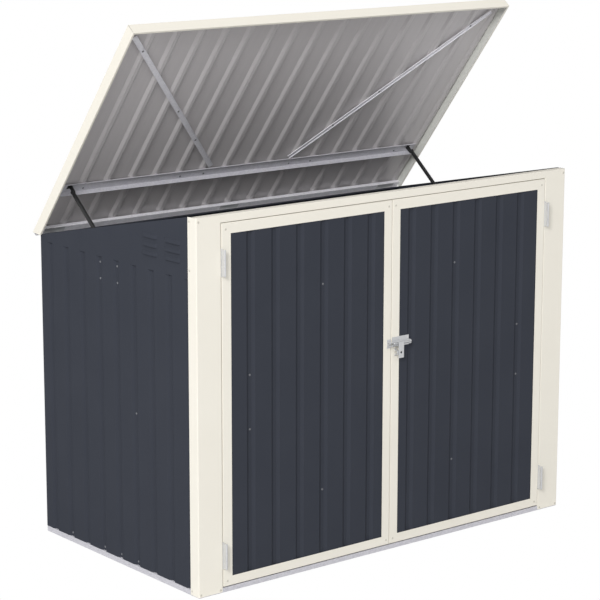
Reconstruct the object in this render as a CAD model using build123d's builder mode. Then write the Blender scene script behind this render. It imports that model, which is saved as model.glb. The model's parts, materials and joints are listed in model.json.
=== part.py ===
from build123d import *
import os
from math import atan2, cos, degrees, radians, sin, tan

# Wheelie bin store: a sheet-steel box with two front doors and a top-hinged lid on gas struts.
# Millimetres. X to the right, Y to the back, Z up. The origin is on the ground, in the middle
# of the four anchor holes. The doors are modelled shut, the latch drawn back and the lid open.

os.makedirs("parts", exist_ok=True)

# ---------------------------------------------------------------- driving dimensions: box
WIDTH = 1715.0
DEPTH = 959.0
FRONT_HEIGHT = 1320.0
ROOF_FALL = 193.0  # the back is this much lower than the front
LEVEL_TOP = 38.5  # the side walls' tops are level this far back from the front, then slope

SHEET = 0.5  # cladding
SECTION = 1.0  # folded posts, rails and brackets
TRIM = 0.8  # door frames, lid rims and braces

LEFT = -WIDTH / 2
FRONT = -DEPTH / 2
BACK = DEPTH / 2
BACK_HEIGHT = FRONT_HEIGHT - ROOF_FALL
KNEE = FRONT + LEVEL_TOP
ROOF_SLOPE = degrees(atan2(ROOF_FALL, BACK - KNEE))

# ---------------------------------------------------------------- pressed grooves
GROOVE_DEPTH = 7.0
GROOVE_MOUTH = 36.0
GROOVE_FLOOR = 13.0
PLAIN_TOP = 22.0  # the side and back sheets are flat from this far below the back's top edge
SHEET_GAP = 1.0  # between the sheets' lower edge and the ledge of the base rail
SIDE_GROOVE_FIRST = 54.5  # from the front of the box
SIDE_GROOVE_PITCH = 105.5
BACK_GROOVE_PITCH = 107.0
CORNER_STRIP = 50.0  # least distance from a groove's middle to a corner at the back
SEAM_FLANGE = 12.0  # turned in where the two halves of the back meet

# ---------------------------------------------------------------- base rails
FLANGE = 40.0  # width on the ground
RAIL_HEIGHT = 20.0
SILL_HEIGHT = 17.0  # the front rail, under the doors
RAIL_UPRIGHT = 50.0  # top of the leg behind the sheets
STOP_HEIGHT = 45.0  # top of the leg that the doors shut against
ANCHOR_RADIUS = 4.5
ANCHOR_INSET = 25.0  # from the side of the box
ANCHOR_SPACING = 600.0  # front to back

# ---------------------------------------------------------------- posts, header and top rails
POST_FACE = 102.5
POST_SIDE = 48.0
POST_RETURN = 20.0
POST_FOOT = 3.0  # height of the posts' lower ends
POST_BEND = 3.0  # radius of the folds
HEADER_FACE = 26.7
HEADER_FLANGE = 30.0
HEADER_LIP = 12.0
HEADER_LAP = 20.0  # its ends behind the posts start this far inside its face
STOP_LIP = 10.0  # hangs behind the tops of the doors
REAR_POST = 30.0
TOP_RAIL = 22.0
TOP_RAIL_FLANGE = 10.0

# ---------------------------------------------------------------- louvres
LOUVRE_COLUMNS = ((91.0, 182.0), (225.0, 311.0))  # from the front of the box
LOUVRE_ROWS = (51.0, 81.0, 111.0)  # lower edges, above the tops of the grooves
LOUVRE_HEIGHT = 14.0
LOUVRE_REACH = 5.0
LOUVRE_SLOT = 9.0

# ---------------------------------------------------------------- doors
HINGE_GAP = 3.0
MEETING_GAP = 4.0
DOOR_TOP_GAP = 3.0
DOOR_BOTTOM_GAP = 4.7
DOOR_DEPTH = 22.0
STOP_GAP = 1.0  # between a shut door and its stop
HINGE_STILE = 37.0
MEETING_STILE = 35.0
DOOR_TOP_RAIL = 36.1
DOOR_BOTTOM_RAIL = 32.7
STILE_RETURN = 15.0
PANEL_MARGIN = 3.0  # the panel stops this far inside the frame's outer edge
RAIL_TONGUE = 25.0  # the rails of the frame pass this far behind the stiles
DOOR_GROOVE_FIRST = 121.7  # from the hinge edge
DOOR_GROOVE_PITCH = 107.0
BRACE_WIDTH = 20.0
BRACE_START = 20.0  # from the door's hinge edge
BRACE_FORK = 9.0  # height of a brace's middle there, from the door's mid-height
BRACE_CORNER = (23.0, 19.4)  # a brace's outer end, from the door's meeting and top edges

# ---------------------------------------------------------------- door hinges
HINGE_REACH = 20.0  # the pin stands this far in front of the box
HINGE_SEAT = 14.0  # how far a leaf runs back beside the post
HINGE_HEIGHT = 96.0
HINGE_TAPER = 4.0
LOW_HINGE = 112.3  # middle of the lower hinge, above the door's bottom edge
HIGH_HINGE = 132.3  # middle of the upper hinge, below the door's top edge
LEAF = 1.2
LEAF_GAP = 0.6  # between the two leaves
KNUCKLE_RADIUS = 3.5
KNUCKLE_GAP = 0.3
DOOR_PIN_RADIUS = 2.1
PIN_HEAD = 2.0
RUNNING = 0.05  # radial clearance of pins and rods

# ---------------------------------------------------------------- latch
# Places across are from the right door's meeting edge, and for the keeper from the left door's.
# Heights are from the axis of the bolt.
LATCH_HEIGHT = 771.0
LATCH_PLATE_X = (0.7, 80.3)
LATCH_PLATE_Z = (-14.0, 22.0)
KEEPER_X = (-18.7, -0.6)
KEEPER_Z = (-16.0, 16.0)
LATCH_PLATE = 1.6
BOLT_RADIUS = 5.0
BOLT_REACH = 9.0  # axis of the bolt, in front of the doors
BOLT_X = (1.5, 83.3)
BOLT_NOSE = 1.2  # chamfer
GUIDE_PLAY = 0.3
GUIDE_WALL = 1.6
GUIDE_SLOT = 9.0
HASP_X = (19.0, 43.0)
HASP_Z = (-54.0, 5.0)
HASP_PLATE = 2.0
HASP_NECK = 8.0
HASP_NECK_HEIGHT = 6.0
HASP_HOLE_RADIUS = 4.5
HASP_HOLE_RISE = 20.0  # from the hasp's lower end
HASP_GAP = 1.0
STAPLE_X = (14.0, 22.0)
STAPLE_Z = (-48.0, -20.0)
STAPLE_FOOT = 6.0
STAPLE_REACH = 15.0
STAPLE_PLATE = 2.0

# ---------------------------------------------------------------- lid, along its own slope
LID_TURN = 40.4  # degrees from shut to open
LID_EASE = 0.57  # degrees by which the shut lid is flatter than the walls' tops
LID_REACH = 38.4  # the shut lid, measured level, is this much longer than the box
LID_OVERHANG = 11.6
RIM_DEPTH = 40.0
RIM_FLANGE = 25.0
RIM_HEM = 8.0
RIM_CORNER = 26.0  # cut off the lower rear corners
RIB_DEPTH = 7.0
RIB_CREST = 13.0
RIB_FOOT = 36.0  # width of a rib where it leaves the sheet
RIB_PITCH = 107.0
LAP_RIB = 2  # the sheets lap on the second rib to either side of the middle
LID_SHEET = 0.6

CROSS_RAIL_S = (209.0, 249.0)
CROSS_RAIL_LEG = 20.0
CROSS_RAIL_LIP = 5.0
CROSS_RAIL_INSET = 13.5  # from the side of the box
LID_BRACE_OUTER = (31.5, 52.0)  # from the side of the box, and from the lid's front edge
LID_BRACE_INNER = (185.5, 9.0)  # from the middle of the box, and beyond the cross rail
LID_BRACE_LIP = 4.0
REAR_RAIL_S = (2.0, 34.0)
REAR_RAIL_DEPTH = 13.0

# ---------------------------------------------------------------- lid hinges
LID_PIN_BEHIND = 4.03  # the hinge pins' axis, behind the box
LID_PIN_BELOW = 4.0  # and below the top of the back
LID_PIN_S = 11.3  # and on the lid, up the slope
LID_PIN_OFF = 28.0
LID_PIN_RADIUS = 2.2
LID_HINGE_WIDTH = 86.0
LID_HINGE_INSET = 62.0  # middle of an outer hinge, from the side of the box
WALL_LEAF_HEIGHT = 38.0

# ---------------------------------------------------------------- gas struts
STRUT_INSET = 49.0  # from the side of the box
STRUT_TOP_S = 238.0
STRUT_TOP_OFF = 39.0
STRUT_FOOT_BEFORE = 430.5  # from the back of the box
STRUT_FOOT_BELOW = 71.0  # from the top of the back
TUBE_RADIUS = 7.25
TUBE_BORE = 6.25
TUBE_START = 10.0
TUBE_END = 190.0
BORE_START = 20.0
GLAND = 15.0
ROD_RADIUS = 4.0
PISTON_LENGTH = 8.0
PISTON_REST = 0.45  # between the piston and the gland with the lid open
EYE_RADIUS = 8.0
EYE_THICK = 8.0
EYE_NECK = 12.0
STRUT_PIN_RADIUS = 3.0
STRUT_PLAY = 0.3
BRACKET_PLATE = 2.0
WALL_BRACKET_MARGIN = 11.0  # from a groove's middle to the bracket's edge
WALL_BRACKET_HEIGHT = 87.0
WALL_BRACKET_CORNER = 5.5
BOSS_CHAMFER = 2.0

# ---------------------------------------------------------------- screws
HEAD_RADIUS = 4.0
HEAD_HEIGHT = 2.0
POST_SCREWS_X = (9.0, 92.0)  # from the side of the box
POST_SCREW_HIGH = 15.0  # below the top
POST_SCREW_LOW = 11.0  # above the ground
SIDE_SCREW_Y = 39.0  # on the post's side, from the front of the box
SIDE_SCREW_LOW = 17.0
SIDE_SCREW_MIDDLE = 33.0  # above the tops of the grooves
SIDE_SCREW_HIGH = 16.0  # below the top
BASE_SCREW_HEIGHT = 34.0
WALL_SCREW_HEIGHT = 576.0
BRACKET_SCREWS = (27.0, -32.0)  # above and below the strut's lower pin
LEAF_SCREW_DROP = 27.0  # below the top of a lid hinge's wall leaf
LEAF_SCREW_SPREAD = 30.0  # to either side of a lid hinge's middle
DOOR_SCREWS_X = (16.0, -14.0)  # from the hinge edge and from the meeting edge
DOOR_SCREWS_Z = (17.0, -21.0)  # from the bottom edge and from the top edge
CROSS_RAIL_SCREWS_S = 221.0
CROSS_RAIL_SCREWS_X = (204.5, 311.5)  # from the middle of the box
CROSS_RAIL_END_SCREW = 115.0  # from the side of the box
LID_BRACE_SCREWS = (0.1, 0.55, 0.78)  # shares of the brace's length, from its outer end

# ---------------------------------------------------------------- worked out from the above
GROOVE_TOP = BACK_HEIGHT - PLAIN_TOP
HEADER_BOTTOM = FRONT_HEIGHT - HEADER_FACE
HEADER_LEFT = LEFT + POST_FACE - POST_BEND  # left end of the header's face
DOOR_LEFT = LEFT + POST_FACE + HINGE_GAP
DOOR_RIGHT = -MEETING_GAP / 2
DOOR_BOTTOM = SILL_HEIGHT + DOOR_BOTTOM_GAP
DOOR_TOP = HEADER_BOTTOM - DOOR_TOP_GAP
DOOR_MIDDLE = (DOOR_TOP + DOOR_BOTTOM) / 2
STOP_FACE = DOOR_DEPTH + STOP_GAP  # from the front of the box
SIDE_SEAT = SECTION + GROOVE_DEPTH + SHEET  # inner side of a side groove's floor
BACK_SEAT = GROOVE_DEPTH + SHEET
SHEET_BOTTOM = RAIL_HEIGHT + SHEET_GAP
WALL_INSIDE = LEFT + SECTION + SHEET
BACK_INSIDE = BACK - SHEET
HINGE_MIDDLES = (DOOR_BOTTOM + LOW_HINGE, DOOR_TOP - HIGH_HINGE)
RIB_FACE = RIB_DEPTH + 2 * LID_SHEET  # underside of the middle sheet's ribs
LID_SHUT = ROOF_SLOPE - LID_EASE  # degrees above level
LID_ANGLE = LID_SHUT + LID_TURN
LID_LENGTH = (DEPTH + LID_REACH) / cos(radians(LID_SHUT))
UP = Vector(0, 0, 1)
ACROSS = Vector(1, 0, 0)
ALONG_LID = Vector(0, -cos(radians(LID_ANGLE)), sin(radians(LID_ANGLE)))
UNDER_LID = Vector(0, -sin(radians(LID_ANGLE)), -cos(radians(LID_ANGLE)))
LID_PIN = Vector(0, BACK + LID_PIN_BEHIND, BACK_HEIGHT - LID_PIN_BELOW)
LID_EDGE = LID_PIN - ALONG_LID * LID_PIN_S - UNDER_LID * LID_PIN_OFF
LID_SIDE = LEFT - LID_OVERHANG


# ---------------------------------------------------------------- helpers
def save(piece, name):
    """Labels a finished piece and writes it to its own file."""
    piece.label = name
    export_step(piece, f"parts/{name}.step")


def save_pair(piece, name):
    """Writes a left-hand piece and its mirror image; * stands for the side in the name."""
    with BuildPart() as twin:
        mirror(piece, about=Plane.YZ)
    save(piece, name.replace("*", "left"))
    save(twin.part, name.replace("*", "right"))


def cut_block(low, high):
    """Cuts the block between two corners out of the piece being made."""
    middle = [(a + b) / 2 for a, b in zip(low, high)]
    with Locations(Vector(*middle)):
        Box(*[b - a for a, b in zip(low, high)], mode=Mode.SUBTRACT)


def folded(plane, points, length, thickness=SECTION, bend=0.0):
    """A strip bent along points, thickness to their left, carried along the plane's normal."""
    with BuildPart() as member:
        with BuildSketch(plane):
            with BuildLine():
                if bend:
                    FilletPolyline(*points, radius=bend)
                else:
                    Polyline(*points)
                offset(amount=thickness, side=Side.LEFT, kind=Kind.INTERSECTION)
            make_face()
        extrude(amount=length)
    return member.part


def prism(plane, points, length):
    """A solid with a straight-sided outline, carried along the plane's normal."""
    with BuildPart() as solid:
        with BuildSketch(plane):
            Polygon(*points, align=None)
        extrude(amount=length)
    return solid.part


def grooved(start, end, centres, mouth, floor, depth, thickness):
    """The outline of a sheet from start to end, with grooves pressed towards +y."""
    line = [(start, 0)]
    for centre in centres:
        line += [(centre - mouth / 2, 0), (centre - floor / 2, depth)]
        line += [(centre + floor / 2, depth), (centre + mouth / 2, 0)]
    line.append((end, 0))
    return line + [(x, y + thickness) for x, y in reversed(line)]


def groove_ends(plane, centres):
    """Closes the upper ends of the grooves in the piece being made."""
    half_mouth = GROOVE_MOUTH / 2
    half_floor = GROOVE_FLOOR / 2
    with BuildPart() as ends:
        with BuildSketch(plane):
            with Locations(*[(centre, 0) for centre in centres]):
                Polygon(
                    (-half_mouth, 0),
                    (half_mouth, 0),
                    (half_floor, GROOVE_DEPTH),
                    (-half_floor, GROOVE_DEPTH),
                    align=None,
                )
        extrude(amount=SHEET)
    return ends.part


def facing(origin, inward):
    """An upright plane whose x runs inwards from a face of the box and whose y runs up."""
    return Plane(origin=origin, x_dir=inward, z_dir=Vector(*inward).cross(UP))


def heads(places, radius=HEAD_RADIUS):
    """Screw heads: each place is a point on a face and the way that the face looks."""
    with BuildPart() as group:
        for point, outward in places:
            with BuildSketch(Plane(origin=point, z_dir=outward)):
                Circle(radius)
            extrude(amount=HEAD_HEIGHT)
    return group.part


def both_sides(places):
    """Adds the mirror image of every place."""
    twins = [((-p[0], p[1], p[2]), (-d[0], d[1], d[2])) for p, d in places]
    return places + twins


def roof(y):
    """Height of the slope along the side walls' tops."""
    return BACK_HEIGHT + (BACK - y) * tan(radians(ROOF_SLOPE))


def on_lid(x, s, off=0.0):
    """A point on the open lid: s up its slope from the rear edge, off below its top face."""
    return LID_EDGE + ACROSS * x + ALONG_LID * s + UNDER_LID * off


def lid_section(x):
    """A plane across the lid: its x runs up the slope, its y to the underside."""
    return Plane(origin=on_lid(x, 0), x_dir=ALONG_LID, z_dir=ACROSS)


def lid_end(s):
    """A plane square to the slope: its x runs to the right, its y to the underside."""
    return Plane(origin=on_lid(0, s), x_dir=ACROSS, z_dir=-ALONG_LID)


# ---------------------------------------------------------------- base rails
def rail_section(edge, height, seat, top):
    """A base rail: flange on the ground, outer leg, ledge, and a leg behind the sheets."""
    return [
        (edge, 0),
        (edge + FLANGE, 0),
        (edge + FLANGE, SECTION),
        (edge + SECTION, SECTION),
        (edge + SECTION, height - SECTION),
        (seat + SECTION, height - SECTION),
        (seat + SECTION, top),
        (seat, top),
        (seat, height),
        (edge, height),
    ]


side_rail_start = FRONT + SECTION + FLANGE
side_rail_end = BACK_INSIDE - SECTION
side_rail_plane = facing((LEFT, side_rail_end, 0), (1, 0, 0))
side_rail_profile = rail_section(SECTION, RAIL_HEIGHT, SIDE_SEAT, RAIL_UPRIGHT)
with BuildPart() as base_rail_side:
    add(prism(side_rail_plane, side_rail_profile, side_rail_end - side_rail_start))
    with BuildSketch(Plane.XY):
        with Locations((LEFT + ANCHOR_INSET, 0)):
            with GridLocations(0, ANCHOR_SPACING, 1, 2):
                Circle(ANCHOR_RADIUS)
    extrude(amount=SECTION, mode=Mode.SUBTRACT)
save_pair(base_rail_side.part, "base_rail_*")

front_rail_plane = facing((LEFT + POST_BEND, FRONT, 0), (0, 1, 0))
front_rail_profile = rail_section(SECTION, SILL_HEIGHT, STOP_FACE, STOP_HEIGHT)
base_rail_front = prism(front_rail_plane, front_rail_profile, WIDTH - 2 * POST_BEND)
save(base_rail_front, "base_rail_front")

back_rail_half = -(LEFT + SECTION + FLANGE)
back_rail_plane = facing((back_rail_half, BACK, 0), (0, -1, 0))
back_rail_profile = rail_section(0, RAIL_HEIGHT, BACK_SEAT, RAIL_UPRIGHT)
base_rail_back = prism(back_rail_plane, back_rail_profile, 2 * back_rail_half)
save(base_rail_back, "base_rail_back")

# ---------------------------------------------------------------- front posts
# One folded strip: a leg along the side, the wide face, and a short leg into the doorway.
# The doorway leg is notched over the sill and ends under the header, where the face is cut back
# flat to meet the header's. The top follows the slope of the side.
post_line = [
    (LEFT, FRONT + POST_SIDE),
    (LEFT, FRONT),
    (LEFT + POST_FACE, FRONT),
    (LEFT + POST_FACE, FRONT + POST_RETURN),
]
with BuildPart() as front_post:
    add(folded(Plane.XY.offset(POST_FOOT), post_line, FRONT_HEIGHT - POST_FOOT, bend=POST_BEND))
    cut_block(
        (LEFT + POST_FACE - SECTION - POST_BEND, FRONT + SECTION, POST_FOOT),
        (LEFT + POST_FACE, FRONT + POST_RETURN, SILL_HEIGHT),
    )
    cut_block(
        (HEADER_LEFT, FRONT, HEADER_BOTTOM),
        (LEFT + POST_FACE, FRONT + POST_RETURN, FRONT_HEIGHT),
    )
    with BuildSketch(Plane.YZ.offset(LEFT)):
        post_back = FRONT + POST_SIDE
        Polygon(
            (KNEE, FRONT_HEIGHT), (post_back, roof(post_back)), (post_back, FRONT_HEIGHT),
            align=None,
        )
    extrude(amount=SECTION, mode=Mode.SUBTRACT)
save_pair(front_post.part, "front_post_*")

# ---------------------------------------------------------------- header over the doors
# Between the posts: a stiffened top flange, the visible face, the underside over the doors, and
# a lip behind them that they shut against. The top flange runs on over the posts to the sides,
# with a tongue behind each post's face that the post is screwed to.
header_flange = [
    (FRONT + HEADER_FLANGE, FRONT_HEIGHT - HEADER_LIP),
    (FRONT + HEADER_FLANGE, FRONT_HEIGHT),
]
header_line = header_flange + [
    (FRONT, FRONT_HEIGHT),
    (FRONT, HEADER_BOTTOM),
    (FRONT + STOP_FACE, HEADER_BOTTOM),
    (FRONT + STOP_FACE, DOOR_TOP - STOP_LIP),
]
header_tongue = header_flange + [
    (FRONT + SECTION, FRONT_HEIGHT),
    (FRONT + SECTION, HEADER_BOTTOM),
]
header_end = LEFT + POST_BEND
with BuildPart() as header:
    length = HEADER_LEFT + HEADER_LAP - header_end
    add(folded(Plane.YZ.offset(header_end), header_tongue, length))
    mirror(about=Plane.YZ)
    add(folded(Plane.YZ.offset(HEADER_LEFT), header_line, -2 * HEADER_LEFT))
save(header.part, "header_front")

# ---------------------------------------------------------------- rear posts
rear_post_line = [
    (WALL_INSIDE + REAR_POST, BACK_INSIDE),
    (WALL_INSIDE, BACK_INSIDE),
    (WALL_INSIDE, BACK_INSIDE - REAR_POST),
]
rear_post_top = BACK_HEIGHT - TOP_RAIL - SECTION
rear_post = folded(Plane.XY.offset(RAIL_HEIGHT), rear_post_line, rear_post_top - RAIL_HEIGHT)
save_pair(rear_post, "rear_post_*")

# ---------------------------------------------------------------- top rails
slope = Vector(0, -cos(radians(ROOF_SLOPE)), sin(radians(ROOF_SLOPE)))
side_top_plane = Plane(origin=(WALL_INSIDE, BACK_INSIDE, roof(BACK_INSIDE)), x_dir=ACROSS, z_dir=slope)
side_top_line = [(TOP_RAIL_FLANGE, 0), (0, 0), (0, -TOP_RAIL)]
side_top_length = (DEPTH - SHEET - POST_SIDE) / cos(radians(ROOF_SLOPE))
top_rail_side = folded(side_top_plane, side_top_line, side_top_length)
save_pair(top_rail_side, "top_rail_*")

back_top_half = -(WALL_INSIDE + TOP_RAIL_FLANGE)
back_top_line = [(TOP_RAIL, BACK_HEIGHT), (0, BACK_HEIGHT), (0, BACK_HEIGHT - TOP_RAIL)]
back_top_plane = facing((back_top_half, BACK_INSIDE, 0), (0, -1, 0))
top_rail_back = folded(back_top_plane, back_top_line, 2 * back_top_half)
save(top_rail_back, "top_rail_back")

# ---------------------------------------------------------------- side walls
# One sheet: grooves pressed inwards up to GROOVE_TOP, flat above it, cut to the slope of the
# roof, with two columns of louvre hoods pressed outwards near the front.
side_groove_room = DEPTH - SIDE_GROOVE_FIRST - CORNER_STRIP
side_groove_count = int(side_groove_room // SIDE_GROOVE_PITCH) + 1
side_groove_first = FRONT + SIDE_GROOVE_FIRST
side_grooves = [side_groove_first + k * SIDE_GROOVE_PITCH for k in range(side_groove_count)]
wall_front = FRONT + POST_BEND
wall_face = LEFT + SECTION
wall_down = Plane(origin=(wall_face, 0, GROOVE_TOP), x_dir=(0, 1, 0), z_dir=-UP)
wall_profile = grooved(
    wall_front, BACK_INSIDE, side_grooves, GROOVE_MOUTH, GROOVE_FLOOR, GROOVE_DEPTH, SHEET
)


def across_wall(back, bottom):
    """A plane across the left wall: its x runs inwards, its y up, and it faces the front."""
    return Plane(origin=(wall_face, FRONT + back, bottom), x_dir=ACROSS, z_dir=(0, -1, 0))


hood_outline = [(0, 0), (0, LOUVRE_HEIGHT), (-LOUVRE_REACH, 0)]
hood_hollow = [(SHEET, 0), (SHEET, LOUVRE_SLOT), (0, LOUVRE_SLOT), (SECTION - LOUVRE_REACH, 0)]

with BuildPart() as wall_side:
    add(prism(wall_down, wall_profile, GROOVE_TOP - SHEET_BOTTOM))
    with BuildSketch(Plane.YZ.offset(wall_face)):
        Polygon(
            (wall_front, GROOVE_TOP),
            (BACK_INSIDE, GROOVE_TOP),
            (BACK_INSIDE, roof(BACK_INSIDE)),
            (KNEE, FRONT_HEIGHT),
            (wall_front, FRONT_HEIGHT),
            align=None,
        )
    extrude(amount=SHEET)
    add(groove_ends(wall_down, side_grooves))
    for column_front, column_back in LOUVRE_COLUMNS:
        length = column_back - column_front
        for row in LOUVRE_ROWS:
            add(prism(across_wall(column_back, GROOVE_TOP + row), hood_outline, length))
            hollow_plane = across_wall(column_back - SECTION, GROOVE_TOP + row)
            add(prism(hollow_plane, hood_hollow, length - 2 * SECTION), mode=Mode.SUBTRACT)
save_pair(wall_side.part, "wall_*")

# ---------------------------------------------------------------- back wall
# Two sheets that meet in the middle, each with its edge turned in beside the other's.
back_groove_count = int((WIDTH / 2 - CORNER_STRIP) / BACK_GROOVE_PITCH + 0.5)
back_grooves = [-(k + 0.5) * BACK_GROOVE_PITCH for k in reversed(range(back_groove_count))]
back_down = Plane(origin=(0, BACK, GROOVE_TOP), x_dir=ACROSS, z_dir=-UP)
back_profile = grooved(
    wall_face, 0, back_grooves, GROOVE_MOUTH, GROOVE_FLOOR, GROOVE_DEPTH, SHEET
)
with BuildPart() as wall_back:
    add(prism(back_down, back_profile, GROOVE_TOP - SHEET_BOTTOM))
    with BuildSketch(Plane.XZ.offset(-BACK)):
        Polygon(
            (wall_face, GROOVE_TOP), (0, GROOVE_TOP), (0, BACK_HEIGHT), (wall_face, BACK_HEIGHT),
            align=None,
        )
    extrude(amount=SHEET)
    add(groove_ends(back_down, back_grooves))
    with BuildSketch(Plane.YZ.offset(-SHEET)):
        Polygon(
            (BACK_INSIDE - SEAM_FLANGE, RAIL_UPRIGHT + SHEET_GAP),
            (BACK_INSIDE, RAIL_UPRIGHT + SHEET_GAP),
            (BACK_INSIDE, GROOVE_TOP - SHEET_GAP),
            (BACK_INSIDE - SEAM_FLANGE, GROOVE_TOP - SHEET_GAP),
            align=None,
        )
    extrude(amount=SHEET)
save_pair(wall_back.part, "wall_back_*")

# ---------------------------------------------------------------- doors: panel and frame
panel_face = FRONT + 2 * TRIM
panel_bottom = DOOR_BOTTOM + PANEL_MARGIN
panel_top = DOOR_TOP - PANEL_MARGIN
door_groove_first = DOOR_LEFT + DOOR_GROOVE_FIRST
door_groove_room = DOOR_RIGHT - MEETING_STILE - GROOVE_MOUTH / 2 - door_groove_first
door_groove_count = int(door_groove_room // DOOR_GROOVE_PITCH) + 1
door_grooves = [door_groove_first + k * DOOR_GROOVE_PITCH for k in range(door_groove_count)]
door_profile = grooved(
    DOOR_LEFT + PANEL_MARGIN,
    DOOR_RIGHT - PANEL_MARGIN,
    door_grooves,
    GROOVE_MOUTH,
    GROOVE_FLOOR,
    GROOVE_DEPTH,
    SHEET,
)
panel_plane = Plane(origin=(0, panel_face, panel_bottom), x_dir=ACROSS, z_dir=UP)
door_panel = prism(panel_plane, door_profile, panel_top - panel_bottom)
save_pair(door_panel, "door_*_panel")

frame_bottom = DOOR_BOTTOM + DOOR_BOTTOM_RAIL
frame_top = DOOR_TOP - DOOR_TOP_RAIL
hinge_inner = DOOR_LEFT + HINGE_STILE
meeting_inner = DOOR_RIGHT - MEETING_STILE


def stile(outer, inner, turn):
    """An upright of the door frame."""
    line = [
        (outer + turn * STILE_RETURN, FRONT + DOOR_DEPTH),
        (outer, FRONT + DOOR_DEPTH),
        (outer, FRONT),
        (inner, FRONT),
    ]
    if turn < 0:
        line.reverse()
    return folded(Plane.XY.offset(DOOR_BOTTOM), line, DOOR_TOP - DOOR_BOTTOM, TRIM)


def frame_rail(outer, inner, turn):
    """A cross member of the door frame, with a tongue at each end behind the stiles."""
    line = [
        (FRONT + DOOR_DEPTH, outer + turn * STILE_RETURN),
        (FRONT + DOOR_DEPTH, outer),
        (FRONT, outer),
        (FRONT, inner),
    ]
    if turn > 0:
        line.reverse()
    low, high = sorted((outer + turn * TRIM, inner))
    with BuildPart() as member:
        add(folded(Plane.YZ.offset(hinge_inner), line, meeting_inner - hinge_inner, TRIM))
        with BuildSketch(Plane.XZ.offset(-(FRONT + TRIM))):
            Polygon(
                (hinge_inner - RAIL_TONGUE, low),
                (meeting_inner + RAIL_TONGUE, low),
                (meeting_inner + RAIL_TONGUE, high),
                (hinge_inner - RAIL_TONGUE, high),
                align=None,
            )
        extrude(amount=-TRIM)
    return member.part


save_pair(stile(DOOR_LEFT, hinge_inner, 1), "door_*_hinge_stile")
save_pair(stile(DOOR_RIGHT, meeting_inner, -1), "door_*_meeting_stile")
save_pair(frame_rail(DOOR_TOP, frame_top, -1), "door_*_top_rail")
save_pair(frame_rail(DOOR_BOTTOM, frame_bottom, 1), "door_*_bottom_rail")

# ---------------------------------------------------------------- doors: braces
# Two flat strips on the backs of the groove floors. They start together at the middle of the
# hinge stile and run to the corners at the meeting stile.
brace_face = panel_face + GROOVE_DEPTH + SHEET
brace_start = DOOR_LEFT + BRACE_START
brace_end = DOOR_RIGHT - BRACE_CORNER[0]
brace_rise = DOOR_TOP - BRACE_CORNER[1] - DOOR_MIDDLE - BRACE_FORK
brace_slope = brace_rise / (brace_end - brace_start)
brace_half = BRACE_WIDTH / 2 / cos(atan2(brace_slope, 1))


def door_brace_height(x):
    """How far the middle of a door brace lies from the door's mid-height, at x."""
    return BRACE_FORK + (x - brace_start) * brace_slope


with BuildPart() as door_braces:
    for up in (-1, 1):
        with BuildSketch(Plane.XZ.offset(-brace_face)):
            Polygon(
                (brace_start, DOOR_MIDDLE + up * (door_brace_height(brace_start) - brace_half)),
                (brace_end, DOOR_MIDDLE + up * (door_brace_height(brace_end) - brace_half)),
                (brace_end, DOOR_MIDDLE + up * (door_brace_height(brace_end) + brace_half)),
                (brace_start, DOOR_MIDDLE + up * (door_brace_height(brace_start) + brace_half)),
                align=None,
            )
        extrude(amount=-TRIM)
save_pair(door_braces.part, "door_*_braces")

# ---------------------------------------------------------------- door hinges
# Each hinge stands square to the front. One leaf lies on the post's doorway leg, the other on
# the door's edge. The post's leaf has the outer two knuckles and the door's leaf the middle one.
hinge_pin_x = LEFT + POST_FACE + HINGE_GAP / 2
hinge_pin_y = FRONT - HINGE_REACH
knuckle = (HINGE_HEIGHT - 2 * HINGE_TAPER) / 3
leaf_front = hinge_pin_y + KNUCKLE_RADIUS + LEAF_GAP


def hinge_leaf(face, middle, knuckles):
    """A leaf whose plate starts at face, with rolled knuckles at the given places."""
    half = HINGE_HEIGHT / 2
    with BuildPart() as leaf:
        with BuildSketch(Plane.YZ.offset(face)):
            Polygon(
                (FRONT + HINGE_SEAT, middle - half),
                (FRONT + HINGE_SEAT, middle + half),
                (FRONT, middle + half),
                (leaf_front, middle + half - HINGE_TAPER),
                (leaf_front, middle - half + HINGE_TAPER),
                (FRONT, middle - half),
                align=None,
            )
        extrude(amount=LEAF)
        for place in knuckles:
            bottom = middle + (place - 0.5) * knuckle + KNUCKLE_GAP / 2
            with BuildSketch(Plane.XY.offset(bottom)):
                with Locations((hinge_pin_x, hinge_pin_y)):
                    Circle(KNUCKLE_RADIUS)
                with Locations((face + LEAF / 2, (leaf_front + hinge_pin_y) / 2)):
                    Rectangle(LEAF, leaf_front - hinge_pin_y)
                with Locations((hinge_pin_x, hinge_pin_y)):
                    Circle(DOOR_PIN_RADIUS + RUNNING, mode=Mode.SUBTRACT)
            extrude(amount=knuckle - KNUCKLE_GAP)
    return leaf.part


post_leaf_face = LEFT + POST_FACE
door_leaf_face = DOOR_LEFT - LEAF
with BuildPart() as post_leaves:
    for middle in HINGE_MIDDLES:
        add(hinge_leaf(post_leaf_face, middle, (-1, 1)))
    mirror(about=Plane.YZ)
save(post_leaves.part, "door_hinge_post_leaves")

with BuildPart() as door_leaves:
    for middle in HINGE_MIDDLES:
        add(hinge_leaf(door_leaf_face, middle, (0,)))
save_pair(door_leaves.part, "door_*_hinge_leaves")

with BuildPart() as door_pins:
    for middle in HINGE_MIDDLES:
        top = middle + 1.5 * knuckle
        with BuildSketch(Plane.XY.offset(top)):
            with Locations((hinge_pin_x, hinge_pin_y)):
                Circle(KNUCKLE_RADIUS)
        extrude(amount=PIN_HEAD)
        with BuildSketch(Plane.XY.offset(top)):
            with Locations((hinge_pin_x, hinge_pin_y)):
                Circle(DOOR_PIN_RADIUS)
        extrude(amount=-3 * knuckle - PIN_HEAD)
    mirror(about=Plane.YZ)
save(door_pins.part, "door_hinge_pins")

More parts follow.
